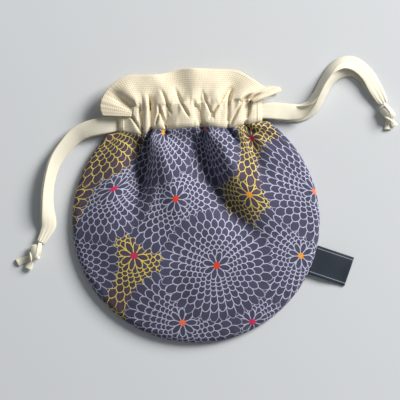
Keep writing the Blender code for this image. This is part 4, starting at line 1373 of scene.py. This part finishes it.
@dataclass
class GatheredBand:
    """One cream band of the mouth: a channel for the tapes with a ruffle above it."""

    shape: PouchShape
    finishes: Finishes
    front: bool
    columns: int = 300
    casing_rows: int = 14
    ruffle_rows: int = 34
    ruffle_cloth: float = 0.0014
    back_ruffle_share: float = 0.93
    gathering: float = 1.40
    flat_height: float = 0.062
    hem_width: float = 0.0040
    hem_rise: float = 0.0008
    hem_edge: float = 0.0035
    hem_seam: float = 0.0022
    slot_ends: tuple[float, float] = (0.22, 0.40)
    end_rise: float = 0.15
    edge_roll: float = 0.03
    upright_share: float = 0.42
    seam_share: float = 0.16
    ripple: float = 0.0006
    belly: float = 0.0022
    curl: float = 0.0018
    stations: tuple[RuffleStation, ...] = (
        RuffleStation(0.052, (-74.4, 84.2, 10.8), (-51.2, 83.8, 13.8), 0.0),
        RuffleStation(0.075, (-76.2, 93.6, 11.8), (-50.6, 87.4, 13.8), 0.0),
        RuffleStation(0.100, (-71.4, 104.6, 13.4), (-49.8, 89.8, 13.6), 0.1),
        RuffleStation(0.140, (-62.4, 112.8, 14.4), (-48.2, 91.4, 13.6), 0.4),
        RuffleStation(0.190, (-52.8, 116.8, 14.4), (-44.0, 91.0, 13.8), 0.9),
        RuffleStation(0.260, (-40.8, 116.8, 13.6), (-35.5, 91.1, 14.2)),
        RuffleStation(0.357, (-26.4, 117.9, 11.6), (-23.3, 92.0, 14.9)),
        RuffleStation(0.450, (-12.0, 121.8, 12.8), (-11.6, 92.8, 15.4)),
        RuffleStation(0.574, (5.6, 122.0, 13.8), (4.0, 93.9, 15.6)),
        RuffleStation(0.680, (21.6, 121.6, 12.6), (17.3, 94.8, 15.2)),
        RuffleStation(0.746, (33.6, 120.2, 11.2), (25.6, 95.4, 14.6)),
        RuffleStation(0.800, (44.0, 114.4, 10.4), (32.4, 95.9, 13.8)),
        RuffleStation(0.860, (54.4, 108.2, 10.6), (39.9, 96.4, 13.6), 0.8),
        RuffleStation(0.900, (60.0, 108.4, 11.2), (43.4, 96.4, 15.2), 0.3),
        RuffleStation(0.940, (66.2, 107.2, 11.6), (44.6, 94.9, 16.4), 0.0),
        RuffleStation(0.9626, (68.0, 104.2, 11.2), (44.2, 93.6, 16.6), 0.0))
    wrinkles: Wrinkles = field(default_factory=Wrinkles)
    # share of the mouth, depth, half width as a share of the mouth, lowest and highest level,
    # and how far it slants along the mouth for each level
    slots: tuple[tuple[float, float, float, float, float, float], ...] = (
        (0.208, 0.0058, 0.0080, -1.2, -0.25, -0.020), (0.262, 0.0062, 0.0070, -0.9, 0.10, -0.008),
        (0.283, 0.0036, 0.0058, -0.8, -0.38, 0.036), (0.360, 0.0060, 0.0075, -0.9, -0.30, -0.052),
        (0.584, 0.0060, 0.0140, -1.0, -0.20, -0.050), (0.540, 0.0030, 0.0080, -0.5, 0.20, -0.085),
        (0.592, 0.0040, 0.0075, -0.6, 0.20, 0.100), (0.738, 0.0048, 0.0070, -0.7, 0.15, 0.012),
        (0.752, 0.0042, 0.0070, -0.9, 0.10, 0.085), (0.854, 0.0060, 0.0090, -0.7, 0.20, 0.035),
        (0.208, 0.0034, 0.0075, -1.0, -0.35, -0.110), (0.425, 0.0024, 0.0070, -0.3, 0.25, -0.060),
        (0.680, 0.0026, 0.0070, -0.6, 0.05, -0.070))
    ruffle_folds: tuple[Fold, ...] = (
        Fold(((-49, 91), (-60, 98), (-73, 106)), -3.4, 2.2, 3.4, 4.5, hold=0.35),
        Fold(((-50, 98), (-56, 106), (-60, 114)), 2.6, 5.0, 6.0, 9, hold=0.4),
        Fold(((-35, 92), (-33, 103), (-29, 114)), -2.6, 2.4, 3.6, 8, hold=0.3),
        Fold(((-24, 93), (-21, 104), (-20, 112)), 1.8, 3.0, 4.0, 7),
        Fold(((-12, 94), (-9, 105), (-10, 118)), -2.0, 3.0, 5.0, 9, hold=0.3),
        Fold(((5, 95), (11, 104), (14, 114)), -2.4, 2.0, 3.4, 7, hold=0.2),
        Fold(((24, 96), (30, 106), (33, 116)), -2.6, 2.0, 3.6, 8, hold=0.3),
        Fold(((33, 97), (42, 103), (52, 106)), 1.6, 3.0, 3.0, 6),
        Fold(((39, 97), (47, 100), (58, 104)), -1.8, 1.6, 2.2, 4))

    @staticmethod
    def pillow(height: Array) -> Array:
        """Share of the channel's full half depth at a share of its height."""
        return np.sin(np.pi * (0.28 + 0.27 * height)) ** 0.5

    @property
    def pillow_end(self) -> float:
        """Share of its full height that the channel keeps where the ruffle begins."""
        return float(self.pillow(1.0))

    @property
    def side_name(self) -> str:
        """Which band this is."""
        return "front" if self.front else "back"

    @property
    def foot_height(self) -> float:
        """How far the ruffle's foot lies above the mouth's line."""
        return self.shape.channel_lift + self.shape.channel_height + 2 * self.shape.band_cloth

    def slot_depth(self, share: Array, level: Array) -> Array:
        """Depth of the pinched creases between their lowest and highest levels."""
        total = np.zeros_like(share * level)
        for centre, depth, half, low, high, slant in self.slots:
            start, end = self.slot_ends
            span = smooth((level - low) / start + 0.5) * (1 - smooth((level - high) / end))
            place = centre + slant * (level + 1)
            total += depth * bell(share - place, half * (1 + np.clip(level, 0, 1))) * span
        return total

    def tufts(self, share: Array, level: Array) -> Array:
        """Height of the tufts, gathers and creases over a smooth band.

        Args:
            share: Shares of the mouth.
            level: -1 at the seam, 0 where the ruffle begins and 1 at its edge.

        Returns:
            Height at each point.
        """
        shape = self.shape
        scale = 1.0 if self.front else shape.back_tuft_share
        rise = shape.tuft_rise * shape.tuft(share) * (1 - smooth(level / 0.6))
        small = self.wrinkles.heights(share, level)
        low_end = mix(self.end_rise, 1.0, smooth((share - 0.10) / 0.08)) if self.front else 1.0
        return scale * ((rise + small) * low_end - self.slot_depth(share, level))

    def station_values(self, share: Array) -> Array:
        """Edge, foot and natural share of the stations, between them too."""
        rows = np.array([(s.share, *s.edge, *s.foot, s.natural) for s in self.stations])
        table = curve_through(rows, 10)
        values = [np.interp(share, table[:, 0], table[:, k]) for k in range(1, 8)]
        return np.stack(values, axis=-1)

    def ruffle_plan(self, share: Array, out: Array) -> Array:
        """Plan points of the ruffle, which leaves the gathers upright and then flares."""
        values = self.station_values(share)
        edge = values[..., 0:2] * MM
        foot = values[..., 3:5] * MM
        upright = values[..., 6:7]
        if not self.front:
            foot = self.shape.mouth_line(share)
            foot[..., 1] += self.foot_height
            edge = foot + (edge - foot) * self.back_ruffle_share
            upright = 1.0
        length = np.linalg.norm(edge - foot, axis=-1, keepdims=True)
        rising = foot + np.array((0.0, self.upright_share)) * length
        control = mix((foot + edge) / 2, rising, upright)
        out = out[..., None]
        return (1 - out) ** 2 * foot + 2 * out * (1 - out) * control + out ** 2 * edge

    def ruffle_level(self, share: Array, out: Array) -> Array:
        """Height of the ruffle's middle."""
        shape = self.shape
        base = shape.channel_z(share, self.front)
        turns = 2 * np.pi * share
        ripples = self.ripple * np.sin(6.2 * turns + 1.0) * out
        if self.front:
            values = self.station_values(share)
            edge = values[..., 2] * MM
            natural = np.clip(values[..., 6], 0, 1)
            lifted = base + self.pillow_end * (shape.channel_depth / 2 + shape.band_cloth)
            lifted = lifted - self.ruffle_cloth / 2
            foot = mix(values[..., 5] * MM, lifted, natural)
            belly = self.belly * np.sin(np.pi * out) * (0.6 + 0.4 * np.sin(3.3 * turns + 0.6 * np.pi))
            curl = self.curl * out ** 3 * np.sin(4.1 * turns + 0.1 * np.pi)
            return mix(foot, edge, out ** 1.3) + belly + curl + ripples
        ground = shape.rest_gap + self.ruffle_cloth / 2
        settled = mix(base, ground, smooth(1.8 * out))
        return settled + self.curl * out * (0.5 + 0.5 * np.sin(3.1 * turns + 0.24 * np.pi))

    def hem(self, share: Array) -> Array:
        """Extra height of the folded hems at the band's two ends."""
        width = self.hem_width / self.shape.mouth_length
        from_end = np.minimum(share - self.shape.band_start, self.shape.band_end - share)
        step = 1 - smooth((from_end - width) / self.hem_edge)
        seam = bell(from_end - 0.8 * width, self.hem_seam)
        return self.hem_rise * (step - 0.35 * seam)

    def casing_side(self, share: Array, upper: bool) -> Array:
        """Points of one side of the channel's outside, from the seam up to the ruffle."""
        shape = self.shape
        rows = np.linspace(0, 1, self.casing_rows)[:, None]
        share = share[None]
        middle = shape.channel_z(share, self.front)
        half = shape.channel_depth / 2 + shape.band_cloth
        base = shape.mouth_line(share)
        foot = shape.mouth_point(share)
        top = base[..., 1] + self.foot_height
        if self.front:
            values = self.station_values(share)
            top = mix(top, values[..., 4] * MM, np.clip(values[..., 6], 0, 1))
        y = mix(foot[..., 1] + shape.join_gap / 2, top, rows)
        seam = shape.seam_z(share, self.front) + (shape.ply_half if upper else -shape.ply_half)
        side = 1 if upper else -1
        full = middle + side * half * self.pillow(rows)
        if upper:
            full = full + self.tufts(share, rows - 1) * self.pillow(rows)
            full = full + self.hem(share)
        elif not self.front:
            full = np.maximum(full, shape.rest_gap)
        z = mix(seam, full, smooth(rows / self.seam_share))
        x = np.broadcast_to(base[..., 0], z.shape)
        return np.stack([x, y + np.zeros_like(z), z], axis=-1)

    def ruffle_side(self, share: Array, upper: bool) -> Array:
        """Points of one face of the ruffle, from its foot to its edge."""
        out = (np.linspace(0, 1, self.ruffle_rows) ** 0.9)[:, None]
        shares = np.broadcast_to(share[None], (self.ruffle_rows, len(share)))
        out = out + np.zeros_like(shares)
        plan = self.ruffle_plan(shares, out)
        z = self.ruffle_level(shares, out) + self.tufts(shares, out)
        if self.front:
            z = z + FoldField(self.ruffle_folds).heights(plan) * smooth(out / 0.1)
        side = 1 if upper else -1
        roll = np.sqrt(1 - np.clip((out - 1) / self.edge_roll + 1, 0, 1) ** 2)
        z = z + side * (self.ruffle_cloth / 2) * (0.25 + 0.75 * roll)
        if upper:
            z = z + self.hem(shares)
        if not self.front:
            z = np.maximum(z, self.shape.rest_gap + (0.0 if not upper else self.ruffle_cloth))
        return np.concatenate([plan, z[..., None]], axis=-1)

    def build(self) -> None:
        """Make the band as one closed piece with its open channel."""
        shape = self.shape
        share = np.linspace(shape.band_start, shape.band_end, self.columns)
        upper, lower = self.casing_side(share, True), self.casing_side(share, False)
        top, bottom = self.ruffle_side(share, True), self.ruffle_side(share, False)
        if self.front:
            joined_share = np.clip(self.station_values(share)[:, 6:7], 0, 1)
            top[0] = mix(top[0], upper[-1], joined_share)
        casing = np.concatenate([upper[::-1], lower])
        count = len(casing)
        ring = np.concatenate([casing, bottom, top[::-1]])
        channel = casing.copy()
        turn = np.linspace(np.pi / 2, -3 * np.pi / 2, count)[:, None]
        half = shape.channel_height / 2 - shape.channel_lift
        middle = shape.mouth_line(share)[:, 1] + shape.channel_lift + shape.channel_height / 2
        channel[..., 1] = middle + half * np.sin(turn)
        channel[..., 2] = shape.channel_z(share, self.front) + shape.channel_depth / 2 * np.cos(turn)
        points = np.concatenate([ring.reshape(-1, 3), channel.reshape(-1, 3)])
        cloth = self.flat_cloth(ring, channel, share)
        surface = (points, self.faces(len(ring), count, len(share)), cloth)
        piece = object_from(f"{self.side_name}_band", surface, self.finishes.dotted, weld=True)
        settle(piece, "cream_cotton", f"band_{self.side_name}")

    def faces(self, ring: int, casing: int, columns: int) -> Faces:
        """Faces of the band: outside, channel and the two ends."""
        faces = grid_faces(ring, columns)
        last = (ring - 1) * columns
        faces += [(last + column, last + column + 1, column + 1, column) for column in range(columns - 1)]
        faces += grid_faces(casing, columns, ring * columns, flip=True)
        for column in (0, columns - 1):
            outside = [row * columns + column for row in range(ring)]
            inside = [(ring + row) * columns + column for row in range(casing)]
            for low in range(casing - 1):
                faces.append((outside[low], outside[low + 1], inside[low + 1], inside[low]))
            for low in range(self.ruffle_rows - 1):
                faces.append((outside[casing + low], outside[casing + low + 1],
                              outside[ring - 2 - low], outside[ring - 1 - low]))
            faces.append((outside[casing - 1], outside[casing], outside[-1], outside[0]))
        return faces

    def flat_cloth(self, ring: Array, channel: Array, share: Array) -> Array:
        """Places on the flat cloth: along the mouth, and round the band's section."""
        along = (share - 0.5) * self.shape.mouth_length * self.gathering
        places = []
        for grid in (ring, channel):
            around = column_lengths(grid).mean(axis=1)
            places.append(grid_places(around, along)[..., ::-1].reshape(-1, 2))
        return np.concatenate(places)


@dataclass(frozen=True)
class TapeSizes:
    """Sizes of the flat cotton tape."""

    width: float = 0.0132
    thickness: float = 0.0008
    bunched_share: float = 0.46
    columns: int = 13
    firm_edge: float = 0.18
    crumple: float = 0.0011


@dataclass
class Tape:
    """Flat tape swept along a route, each point a place, a share of the width and a roll."""

    name: str
    route: tuple[tuple[float, float, float, float, float], ...]
    sizes: TapeSizes
    steps: int = 8
    cup: float = 0.10
    level: bool = False

    def stations(self) -> Array:
        """Smooth stations along the route."""
        return curve_through(np.array(self.route), self.steps)

    def frames(self, stations: Array) -> tuple[Array, Array]:
        """Unit vectors across the tape and out of its face at each station."""
        run = unit_rows(np.gradient(stations[:, :3], axis=0))
        if self.level:
            across = np.tile((0.0, 1.0, 0.0), (len(run), 1))
            return across, np.cross(run, across)
        level = unit_rows(np.stack([-run[:, 1], run[:, 0], np.zeros(len(run))], axis=1))
        lift = np.cross(run, level)
        roll = np.radians(stations[:, 4])[:, None]
        across = level * np.cos(roll) + lift * np.sin(roll)
        return across, np.cross(run, across)

    def surface(self) -> Surface:
        """Vertices, faces and cloth places of the tape."""
        stations = self.stations()
        middle, full = stations[:, :3], stations[:, 3:4]
        size = self.sizes
        places = np.linspace(-1, 1, size.columns)
        places = np.concatenate([places, places[::-1]])
        face = np.repeat((1, -1), size.columns)
        thick = size.thickness / 2 * np.sqrt(1 - 0.75 * places ** 10)
        thick = thick * (1 + size.firm_edge * (np.abs(places) > 0.86))
        bowed = self.cup * size.thickness * (1 - 2 * places ** 2)
        crumple = (1 - full) * size.crumple * np.sin(3.3 * np.pi * places + 0.8)
        offsets = (size.width / 2 * full * places, face * thick + bowed + crumple)
        return tube(middle, *self.frames(stations), offsets,
                    grid_places(line_lengths(middle), places * size.width / 2))

    def build(self, material: bpy.types.Material) -> bpy.types.Object:
        """Make the tape."""
        return object_from(self.name, self.surface(), material)


@dataclass(frozen=True)
class KnotSizes:
    """Sizes of an overhand knot that ties the two ends of a tape."""

    length: float = 0.0150
    width: float = 0.0105
    height: float = 0.0072
    strand: float = 0.0066
    strand_thickness: float = 0.0026
    tail_width: float = 0.0062
    tail_thickness: float = 0.0013
    tail_cup: float = 0.4
    rest_gap: float = 0.0004
    middle_lift: float = 0.0006


@dataclass
class TapeKnot:
    """Overhand knot at the tape's ends, with its two cut tails."""

    name: str
    centre: tuple[float, float]
    heading_deg: float
    tails: tuple[tuple[float, float], ...]
    sizes: KnotSizes = field(default_factory=KnotSizes)

    def path(self) -> Array:
        """Middle line of the knotted strand, in the knot's own axes and half sizes."""
        points = np.array((
            (-1.05, 0.00, 0.10), (-0.62, 0.30, 0.40), (-0.10, 0.62, 0.62), (0.42, 0.66, 0.10),
            (0.52, 0.34, -0.55), (0.10, -0.20, -0.80), (-0.38, -0.62, -0.45), (-0.50, -0.68, 0.25),
            (-0.12, -0.34, 0.82), (0.34, 0.18, 0.86), (0.62, 0.62, 0.30), (0.50, 0.66, -0.40),
            (0.20, 0.10, -0.50), (0.40, -0.30, -0.10), (0.72, -0.26, 0.10), (1.05, 0.00, 0.00)))
        return curve_through(points, 8)

    def axes(self) -> tuple[Array, Array, Array]:
        """Middle of the knot, and its unit vectors along and across."""
        heading = math.radians(self.heading_deg)
        along = np.array((math.cos(heading), math.sin(heading), 0.0))
        across = np.array((-along[1], along[0], 0.0))
        size = self.sizes
        middle = np.array((*self.centre, size.rest_gap + size.height / 2 + size.middle_lift))
        return middle, along, across

    def strand(self) -> Surface:
        """Vertices, faces and cloth places of the knotted strand."""
        size = self.sizes
        middle, along, across = self.axes()
        local = self.path() * np.array((size.length / 2, (size.width - size.strand_thickness) / 2,
                                        (size.height - size.strand_thickness) / 2))
        line = middle + local @ np.array((along, across, (0.0, 0.0, 1.0)))
        run = unit_rows(np.gradient(line, axis=0))
        out = line - middle
        out = unit_rows(out - (out * run).sum(1, keepdims=True) * run)
        turns = np.linspace(0, 2 * np.pi, 16, endpoint=False)
        taper = (1 - 0.25 * np.abs(np.linspace(-1, 1, len(line))) ** 6)[:, None]
        wide = size.strand / 2 * np.cos(turns)
        thick = size.strand_thickness / 2 * np.sin(turns) * (1 + 0.10 * np.cos(3 * turns))
        return tube(line, np.cross(run, out), out, (taper * wide, taper * thick),
                    grid_places(line_lengths(line), turns * 0.0011))

    def tail_route(self, index: int) -> tuple[tuple[float, ...], ...]:
        """Route of one tail, from the knot down to the surface."""
        size = self.sizes
        middle, along, _ = self.axes()
        turn_deg, length = self.tails[index]
        heading = math.radians(self.heading_deg + turn_deg)
        run = np.array((math.cos(heading), math.sin(heading), 0.0))
        root = middle + along * 0.2 * size.length
        rest = size.rest_gap + size.tail_thickness / 2 + index * (size.tail_thickness + 0.0003)
        route = []
        for share, width, roll in ((0.0, 0.45, 0), (0.35, 0.60, 6 - 10 * index), (0.7, 0.85, 3),
                                   (1.0, 1.0, -5 + 8 * index)):
            place = root + run * length * share
            height = mix(middle[2], rest, float(smooth(1.5 * share)))
            lift = 0.0006 * abs(roll) / 10
            route.append((place[0], place[1], height + lift, width, roll))
        return tuple(route)

    def build(self, material: bpy.types.Material) -> bpy.types.Object:
        """Make the knot and its tails as one piece."""
        size = self.sizes
        tail_sizes = TapeSizes(width=size.tail_width, thickness=size.tail_thickness)
        parts = [self.strand()]
        for index in range(len(self.tails)):
            parts.append(Tape("tail", self.tail_route(index), tail_sizes, 6, size.tail_cup).surface())
        return object_from(self.name, joined(parts), material)


@dataclass
class Drawstring:
    """One cotton tape: two free strands, the run inside the channels, and its knot."""

    name: str
    upper: tuple[tuple[float, ...], ...]
    lower: tuple[tuple[float, ...], ...]
    knot: TapeKnot
    leftwards: bool
    shape: PouchShape
    sizes: TapeSizes = field(default_factory=TapeSizes)
    channel_cloth: float = 0.0010
    ease: float = 0.0005
    turn_reach: float = 0.0040

    def lane(self, share: float, front: bool) -> tuple[float, ...]:
        """Middle of the bunched tape in its lane of a channel."""
        shape = self.shape
        base = shape.mouth_line(np.array(share))
        width = self.sizes.bunched_share * self.sizes.width
        lane = 0 if self.leftwards else 1
        up = shape.channel_lift + self.channel_cloth + self.ease + width / 2 + lane * (width + self.ease)
        height = float(shape.channel_z(np.array([share]), front)[0])
        return (float(base[0]), float(base[1]) + up, height, self.sizes.bunched_share, 0.0)

    def inner_route(self) -> tuple[tuple[float, ...], ...]:
        """Route through the front channel, round its far end and back through the other."""
        shape = self.shape
        near, far, sign = 0.10, shape.band_end, 1
        if not self.leftwards:
            near, far, sign = 0.90, shape.band_start, -1
        shares = np.linspace(near, far, 9)
        front = [self.lane(float(share), True) for share in shares]
        back = [self.lane(float(share), False) for share in shares[::-1]]
        top, bottom = front[-1], back[0]
        middle = (top[2] + bottom[2]) / 2
        radius = (top[2] - bottom[2]) / 2
        turn = []
        for degrees in (62, 32, 0, -32, -62):
            angle = math.radians(degrees)
            turn.append((top[0] + sign * (shape.channel_lift + self.turn_reach * math.cos(angle)), top[1],
                         middle + radius * math.sin(angle), self.sizes.bunched_share, 0.0))
        return (*front, *turn, *back)

    def build(self, finishes: Finishes) -> None:
        """Make the strands, the hidden runs and the knot."""
        knot = settle(self.knot.build(finishes.tape), "cotton_tape", f"{self.name}_knot")
        inner = Tape(f"{self.name}_inner_run", self.inner_route(), self.sizes, 6, level=True)
        settle(inner.build(finishes.tape), "cotton_tape")
        for label, route in (("upper", self.upper), ("lower", self.lower)):
            tape = Tape(f"{self.name}_{label}_strand", route, self.sizes)
            strand = settle(tape.build(finishes.tape), "cotton_tape", self.name)
            path = tape.stations()[:, :3]


@dataclass
class SideLabel:
    """Folded woven label sewn into the side seam."""

    shape: PouchShape
    length: float = 0.0300
    width: float = 0.0240
    cloth: float = 0.0004
    fold: float = 0.0012
    warp: float = 0.0005
    seam_deg: float = -18.2
    overlap: float = 0.02
    belly: float = 0.0009
    rows: int = 40
    columns: int = 30

    def build(self, finishes: Finishes) -> None:
        """Make the label as one folded strip."""
        shape = self.shape
        angle = np.radians(np.array([self.seam_deg]))
        root = np.append(shape.outline(angle)[0], 0.0)
        out = np.append(shape.outward(angle)[0], 0.0)
        across = np.array((-out[1], out[0], 0.0))
        share = (360 + self.seam_deg - shape.left_corner_deg) / (
            360 + shape.right_corner_deg - shape.left_corner_deg)
        high = float(shape.seam_height(np.array([share]))[0])
        low = shape.rest_gap + self.fold / 2 + self.warp
        apart = (self.fold - self.cloth) / 2
        reach = np.linspace(-self.overlap, 1, self.rows)
        run = shape.join_gap + (self.length - self.fold / 2) * reach
        height = mix(high, low, smooth(1.15 * reach)) + self.belly * np.sin(np.pi * reach) ** 2
        turn = np.radians(np.linspace(70, -70, 9))
        line = np.concatenate([
            np.stack([run, height + apart], 1),
            np.stack([run[-1] + apart * np.cos(turn), low + apart * np.sin(turn)], 1),
            np.stack([run, height - apart], 1)[::-1]])
        sides = np.linspace(-1, 1, self.columns)
        grid = (root + out * line[:, None, :1] + across * (sides * self.width / 2)[None, :, None])
        warp = self.warp * np.sin(2.2 * sides + 0.6)[None] * smooth(line[:, :1] / self.length)
        grid[..., 2] = line[:, 1][:, None] + warp
        inner = grid - grid_normals(grid) * self.cloth
        cloth = grid_places(line_lengths(line), sides * self.width / 2)
        surface = shell_between(grid, inner, cloth, False)
        piece = object_from("folded_label", surface, finishes.label, weld=True)
        settle(piece, "woven_label", "side_label")


@dataclass
class ChannelStitching:
    """Row of stitches that closes a channel under its ruffle."""

    band: GatheredBand
    stitch: float = 0.0022
    gap: float = 0.0007
    radius: float = 0.00022
    over_cloth: float = -0.00012
    from_end: float = 0.004
    sunk: float = 0.00035

    def build(self, finishes: Finishes) -> None:
        """Make the stitches as one piece that follows the gathered cloth."""
        band = self.band
        shape = band.shape
        share = np.linspace(shape.band_start + self.from_end, shape.band_end - self.from_end, 1200)
        out = np.full_like(share, 0.02)
        plan = band.ruffle_plan(share, out)
        level = band.ruffle_level(share, out) + band.tufts(share, out)
        level += band.ruffle_cloth / 2 + band.hem(share) + self.over_cloth
        line = np.concatenate([plan, level[:, None]], axis=-1)
        length = line_lengths(line)
        turns = np.linspace(0, 2 * np.pi, 6, endpoint=False)
        offsets = (self.radius * np.cos(turns), self.radius * np.sin(turns))
        along = np.linspace(0, 1, 7)
        stitches = []
        for start in np.arange(0, length[-1] - self.stitch, self.stitch + self.gap):
            places = start + self.stitch * along
            middle = np.stack([np.interp(places, length, line[:, k]) for k in range(3)], axis=1)
            middle[:, 2] -= self.sunk * np.abs(2 * along - 1) ** 4
            run = unit_rows(np.gradient(middle, axis=0))
            side = unit_rows(np.cross(run, (0.0, 0.0, 1.0)))
            cloth = grid_places(places, turns * self.radius)
            stitches.append(tube(middle, side, np.cross(side, run), offsets, cloth))
        piece = object_from(f"{band.side_name}_stitching", joined(stitches), finishes.thread, outward=False)
        settle(piece, "cream_cotton")


@dataclass
class Studio:
    """Pale floor, soft light and the camera that looks straight down."""

    view_middle: tuple[float, float] = (0.0032, 0.0176)
    view_span: float = 0.320
    view_level: float = 0.004
    camera_height: float = 1.15
    sensor: float = 36.0
    floor_colour: tuple[float, ...] = srgb(216, 220, 224)
    floor_half: float = 4.0
    sky_level: float = 0.19
    sky_colour: tuple[float, ...] = (0.93, 0.97, 1.0, 1.0)
    key_power: float = 132.0
    key_colour: tuple[float, ...] = (1.0, 0.975, 0.94)
    key_place: tuple[float, float, float] = (2.06, 1.50, 1.56)
    key_size: float = 1.3

    def build(self) -> None:
        """Make the floor, the light and the camera."""
        self.build_floor()
        self.build_light()
        self.build_camera()

    def build_floor(self) -> None:
        """Make a plain pale floor under the pouch."""
        half = self.floor_half
        mesh = bpy.data.meshes.new("floor")
        mesh.from_pydata([(-half, -half, 0), (half, -half, 0), (half, half, 0), (-half, half, 0)], [],
                         [(0, 1, 2, 3)])
        material = bpy.data.materials.new("pale_floor")
        material.use_nodes = True
        shader = material.node_tree.nodes["Principled BSDF"]
        shader.inputs["Base Color"].default_value = self.floor_colour
        shader.inputs["Roughness"].default_value = 0.9
        shader.inputs["Specular IOR Level"].default_value = 0.1
        mesh.materials.append(material)
        floor = bpy.data.objects.new("floor", mesh)
        bpy.context.collection.objects.link(floor)

    def build_light(self) -> None:
        """Make the soft sky and the key light from the upper right."""
        world = bpy.data.worlds.new("soft_sky")
        bpy.context.scene.world = world
        world.use_nodes = True
        sky = world.node_tree.nodes["Background"]
        sky.inputs["Color"].default_value = self.sky_colour
        sky.inputs["Strength"].default_value = self.sky_level
        light = bpy.data.lights.new("key_light", "AREA")
        light.shape = "SQUARE"
        light.size = self.key_size
        light.energy = self.key_power
        light.color = self.key_colour
        lamp = bpy.data.objects.new("key_light", light)
        lamp.location = self.key_place
        towards = -np.array(self.key_place)
        towards /= np.linalg.norm(towards)
        pitch = math.acos(-towards[2])
        turn = math.atan2(towards[1], towards[0]) - math.pi / 2
        lamp.rotation_euler = (pitch, 0.0, turn)
        bpy.context.collection.objects.link(lamp)

    def build_camera(self) -> None:
        """Make the camera above the middle of the view."""
        camera = bpy.data.cameras.new("camera")
        camera.sensor_width = self.sensor
        camera.lens = self.sensor * (self.camera_height - self.view_level) / self.view_span
        camera.clip_start = 0.05
        camera.clip_end = 20.0
        holder = bpy.data.objects.new("camera", camera)
        holder.location = (*self.view_middle, self.camera_height)
        bpy.context.collection.objects.link(holder)
        bpy.context.scene.camera = holder


# Routes of the free strands, from the channel to the knot: x, y, z, width share, roll in degrees
LEFT_UPPER = (
    (-0.0560, 0.0795, 0.0080, 0.80, 0), (-0.0620, 0.0787, 0.0082, 0.90, 0),
    (-0.0700, 0.0775, 0.0088, 0.98, 0), (-0.0790, 0.0760, 0.0082, 1.00, -2),
    (-0.0880, 0.0735, 0.0068, 0.97, -6), (-0.0962, 0.0690, 0.0052, 0.95, -14),
    (-0.1040, 0.0605, 0.0046, 0.93, -28), (-0.1108, 0.0508, 0.0051, 0.92, -40),
    (-0.1152, 0.0390, 0.0057, 0.92, -50), (-0.1178, 0.0248, 0.0059, 0.92, -52),
    (-0.1182, 0.0104, 0.0054, 0.92, -44), (-0.1178, -0.0020, 0.0036, 0.90, -18),
    (-0.1205, -0.0095, 0.0036, 0.68, -6), (-0.1241, -0.0165, 0.0044, 0.50, 0))
LEFT_LOWER = (
    (-0.0560, 0.0795, 0.0026, 0.80, 0), (-0.0620, 0.0785, 0.0025, 0.90, 0),
    (-0.0700, 0.0770, 0.0022, 0.98, 0), (-0.0792, 0.0755, 0.0020, 1.00, -3),
    (-0.0884, 0.0728, 0.0024, 0.97, -9), (-0.0970, 0.0682, 0.0028, 0.95, -17),
    (-0.1050, 0.0598, 0.0034, 0.93, -27), (-0.1119, 0.0504, 0.0042, 0.92, -39),
    (-0.1163, 0.0388, 0.0049, 0.92, -49), (-0.1189, 0.0248, 0.0051, 0.92, -51),
    (-0.1193, 0.0104, 0.0046, 0.92, -43), (-0.1187, -0.0022, 0.0023, 0.90, -17),
    (-0.1209, -0.0093, 0.0018, 0.68, -6), (-0.1243, -0.0163, 0.0028, 0.50, 0))
RIGHT_UPPER = (
    (0.0470, 0.0880, 0.0082, 0.80, 0), (0.0540, 0.0886, 0.0086, 0.90, 0),
    (0.0610, 0.0888, 0.0078, 0.98, 0), (0.0680, 0.0884, 0.0062, 1.00, 0),
    (0.0755, 0.0879, 0.0052, 1.00, -4), (0.0835, 0.0884, 0.0058, 1.00, -24),
    (0.0908, 0.0934, 0.0070, 1.00, -52), (0.0962, 0.1024, 0.0074, 1.00, -66),
    (0.1014, 0.1124, 0.0074, 1.00, -66), (0.1080, 0.1216, 0.0072, 1.00, -58),
    (0.1172, 0.1272, 0.0064, 0.98, -40), (0.1272, 0.1262, 0.0050, 0.94, -24),
    (0.1368, 0.1182, 0.0044, 0.90, -18), (0.1432, 0.1074, 0.0040, 0.88, -12),
    (0.1478, 0.0992, 0.0038, 0.72, -4), (0.1503, 0.0949, 0.0044, 0.50, 0))
RIGHT_LOWER = (
    (0.0470, 0.0880, 0.0026, 0.80, 0), (0.0540, 0.0884, 0.0025, 0.90, 0),
    (0.0612, 0.0882, 0.0020, 0.98, 0), (0.0682, 0.0874, 0.0017, 1.00, 0),
    (0.0762, 0.0866, 0.0022, 1.00, 6), (0.0852, 0.0870, 0.0040, 1.00, 26),
    (0.0944, 0.0914, 0.0062, 1.00, 52), (0.1012, 0.1004, 0.0070, 1.00, 66),
    (0.1066, 0.1104, 0.0070, 1.00, 66), (0.1128, 0.1180, 0.0060, 1.00, 50),
    (0.1196, 0.1222, 0.0042, 0.98, 28), (0.1280, 0.1226, 0.0022, 0.94, 2),
    (0.1362, 0.1158, 0.0024, 0.90, -12), (0.1424, 0.1064, 0.0022, 0.88, -10),
    (0.1473, 0.0990, 0.0018, 0.72, -4), (0.1501, 0.0947, 0.0028, 0.50, 0))


def main() -> None:
    """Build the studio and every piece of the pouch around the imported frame."""
    logging.basicConfig(level=logging.INFO, format="%(name)s: %(message)s")
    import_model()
    bpy.context.scene.view_settings.view_transform = "Standard"
    Studio().build()
    shape = PouchShape()
    finishes = Finishes.build()
    left_knot = TapeKnot("left_knot", (-0.1284, -0.0238), 240, ((-34, 0.0150), (8, 0.0120)))
    right_knot = TapeKnot("right_knot", (0.1531, 0.0874), -70, ((-22, 0.0105), (12, 0.0095)))
    Drawstring("drawstring_left", LEFT_UPPER, LEFT_LOWER, left_knot, True, shape).build(finishes)
    Drawstring("drawstring_right", RIGHT_UPPER, RIGHT_LOWER, right_knot, False, shape).build(finishes)
    PouchBody(shape, finishes).build()
    for front in (True, False):
        band = GatheredBand(shape, finishes, front)
        band.build()
        ChannelStitching(band).build(finishes)
    SideLabel(shape).build(finishes)


if __name__ == "__main__":
    main()
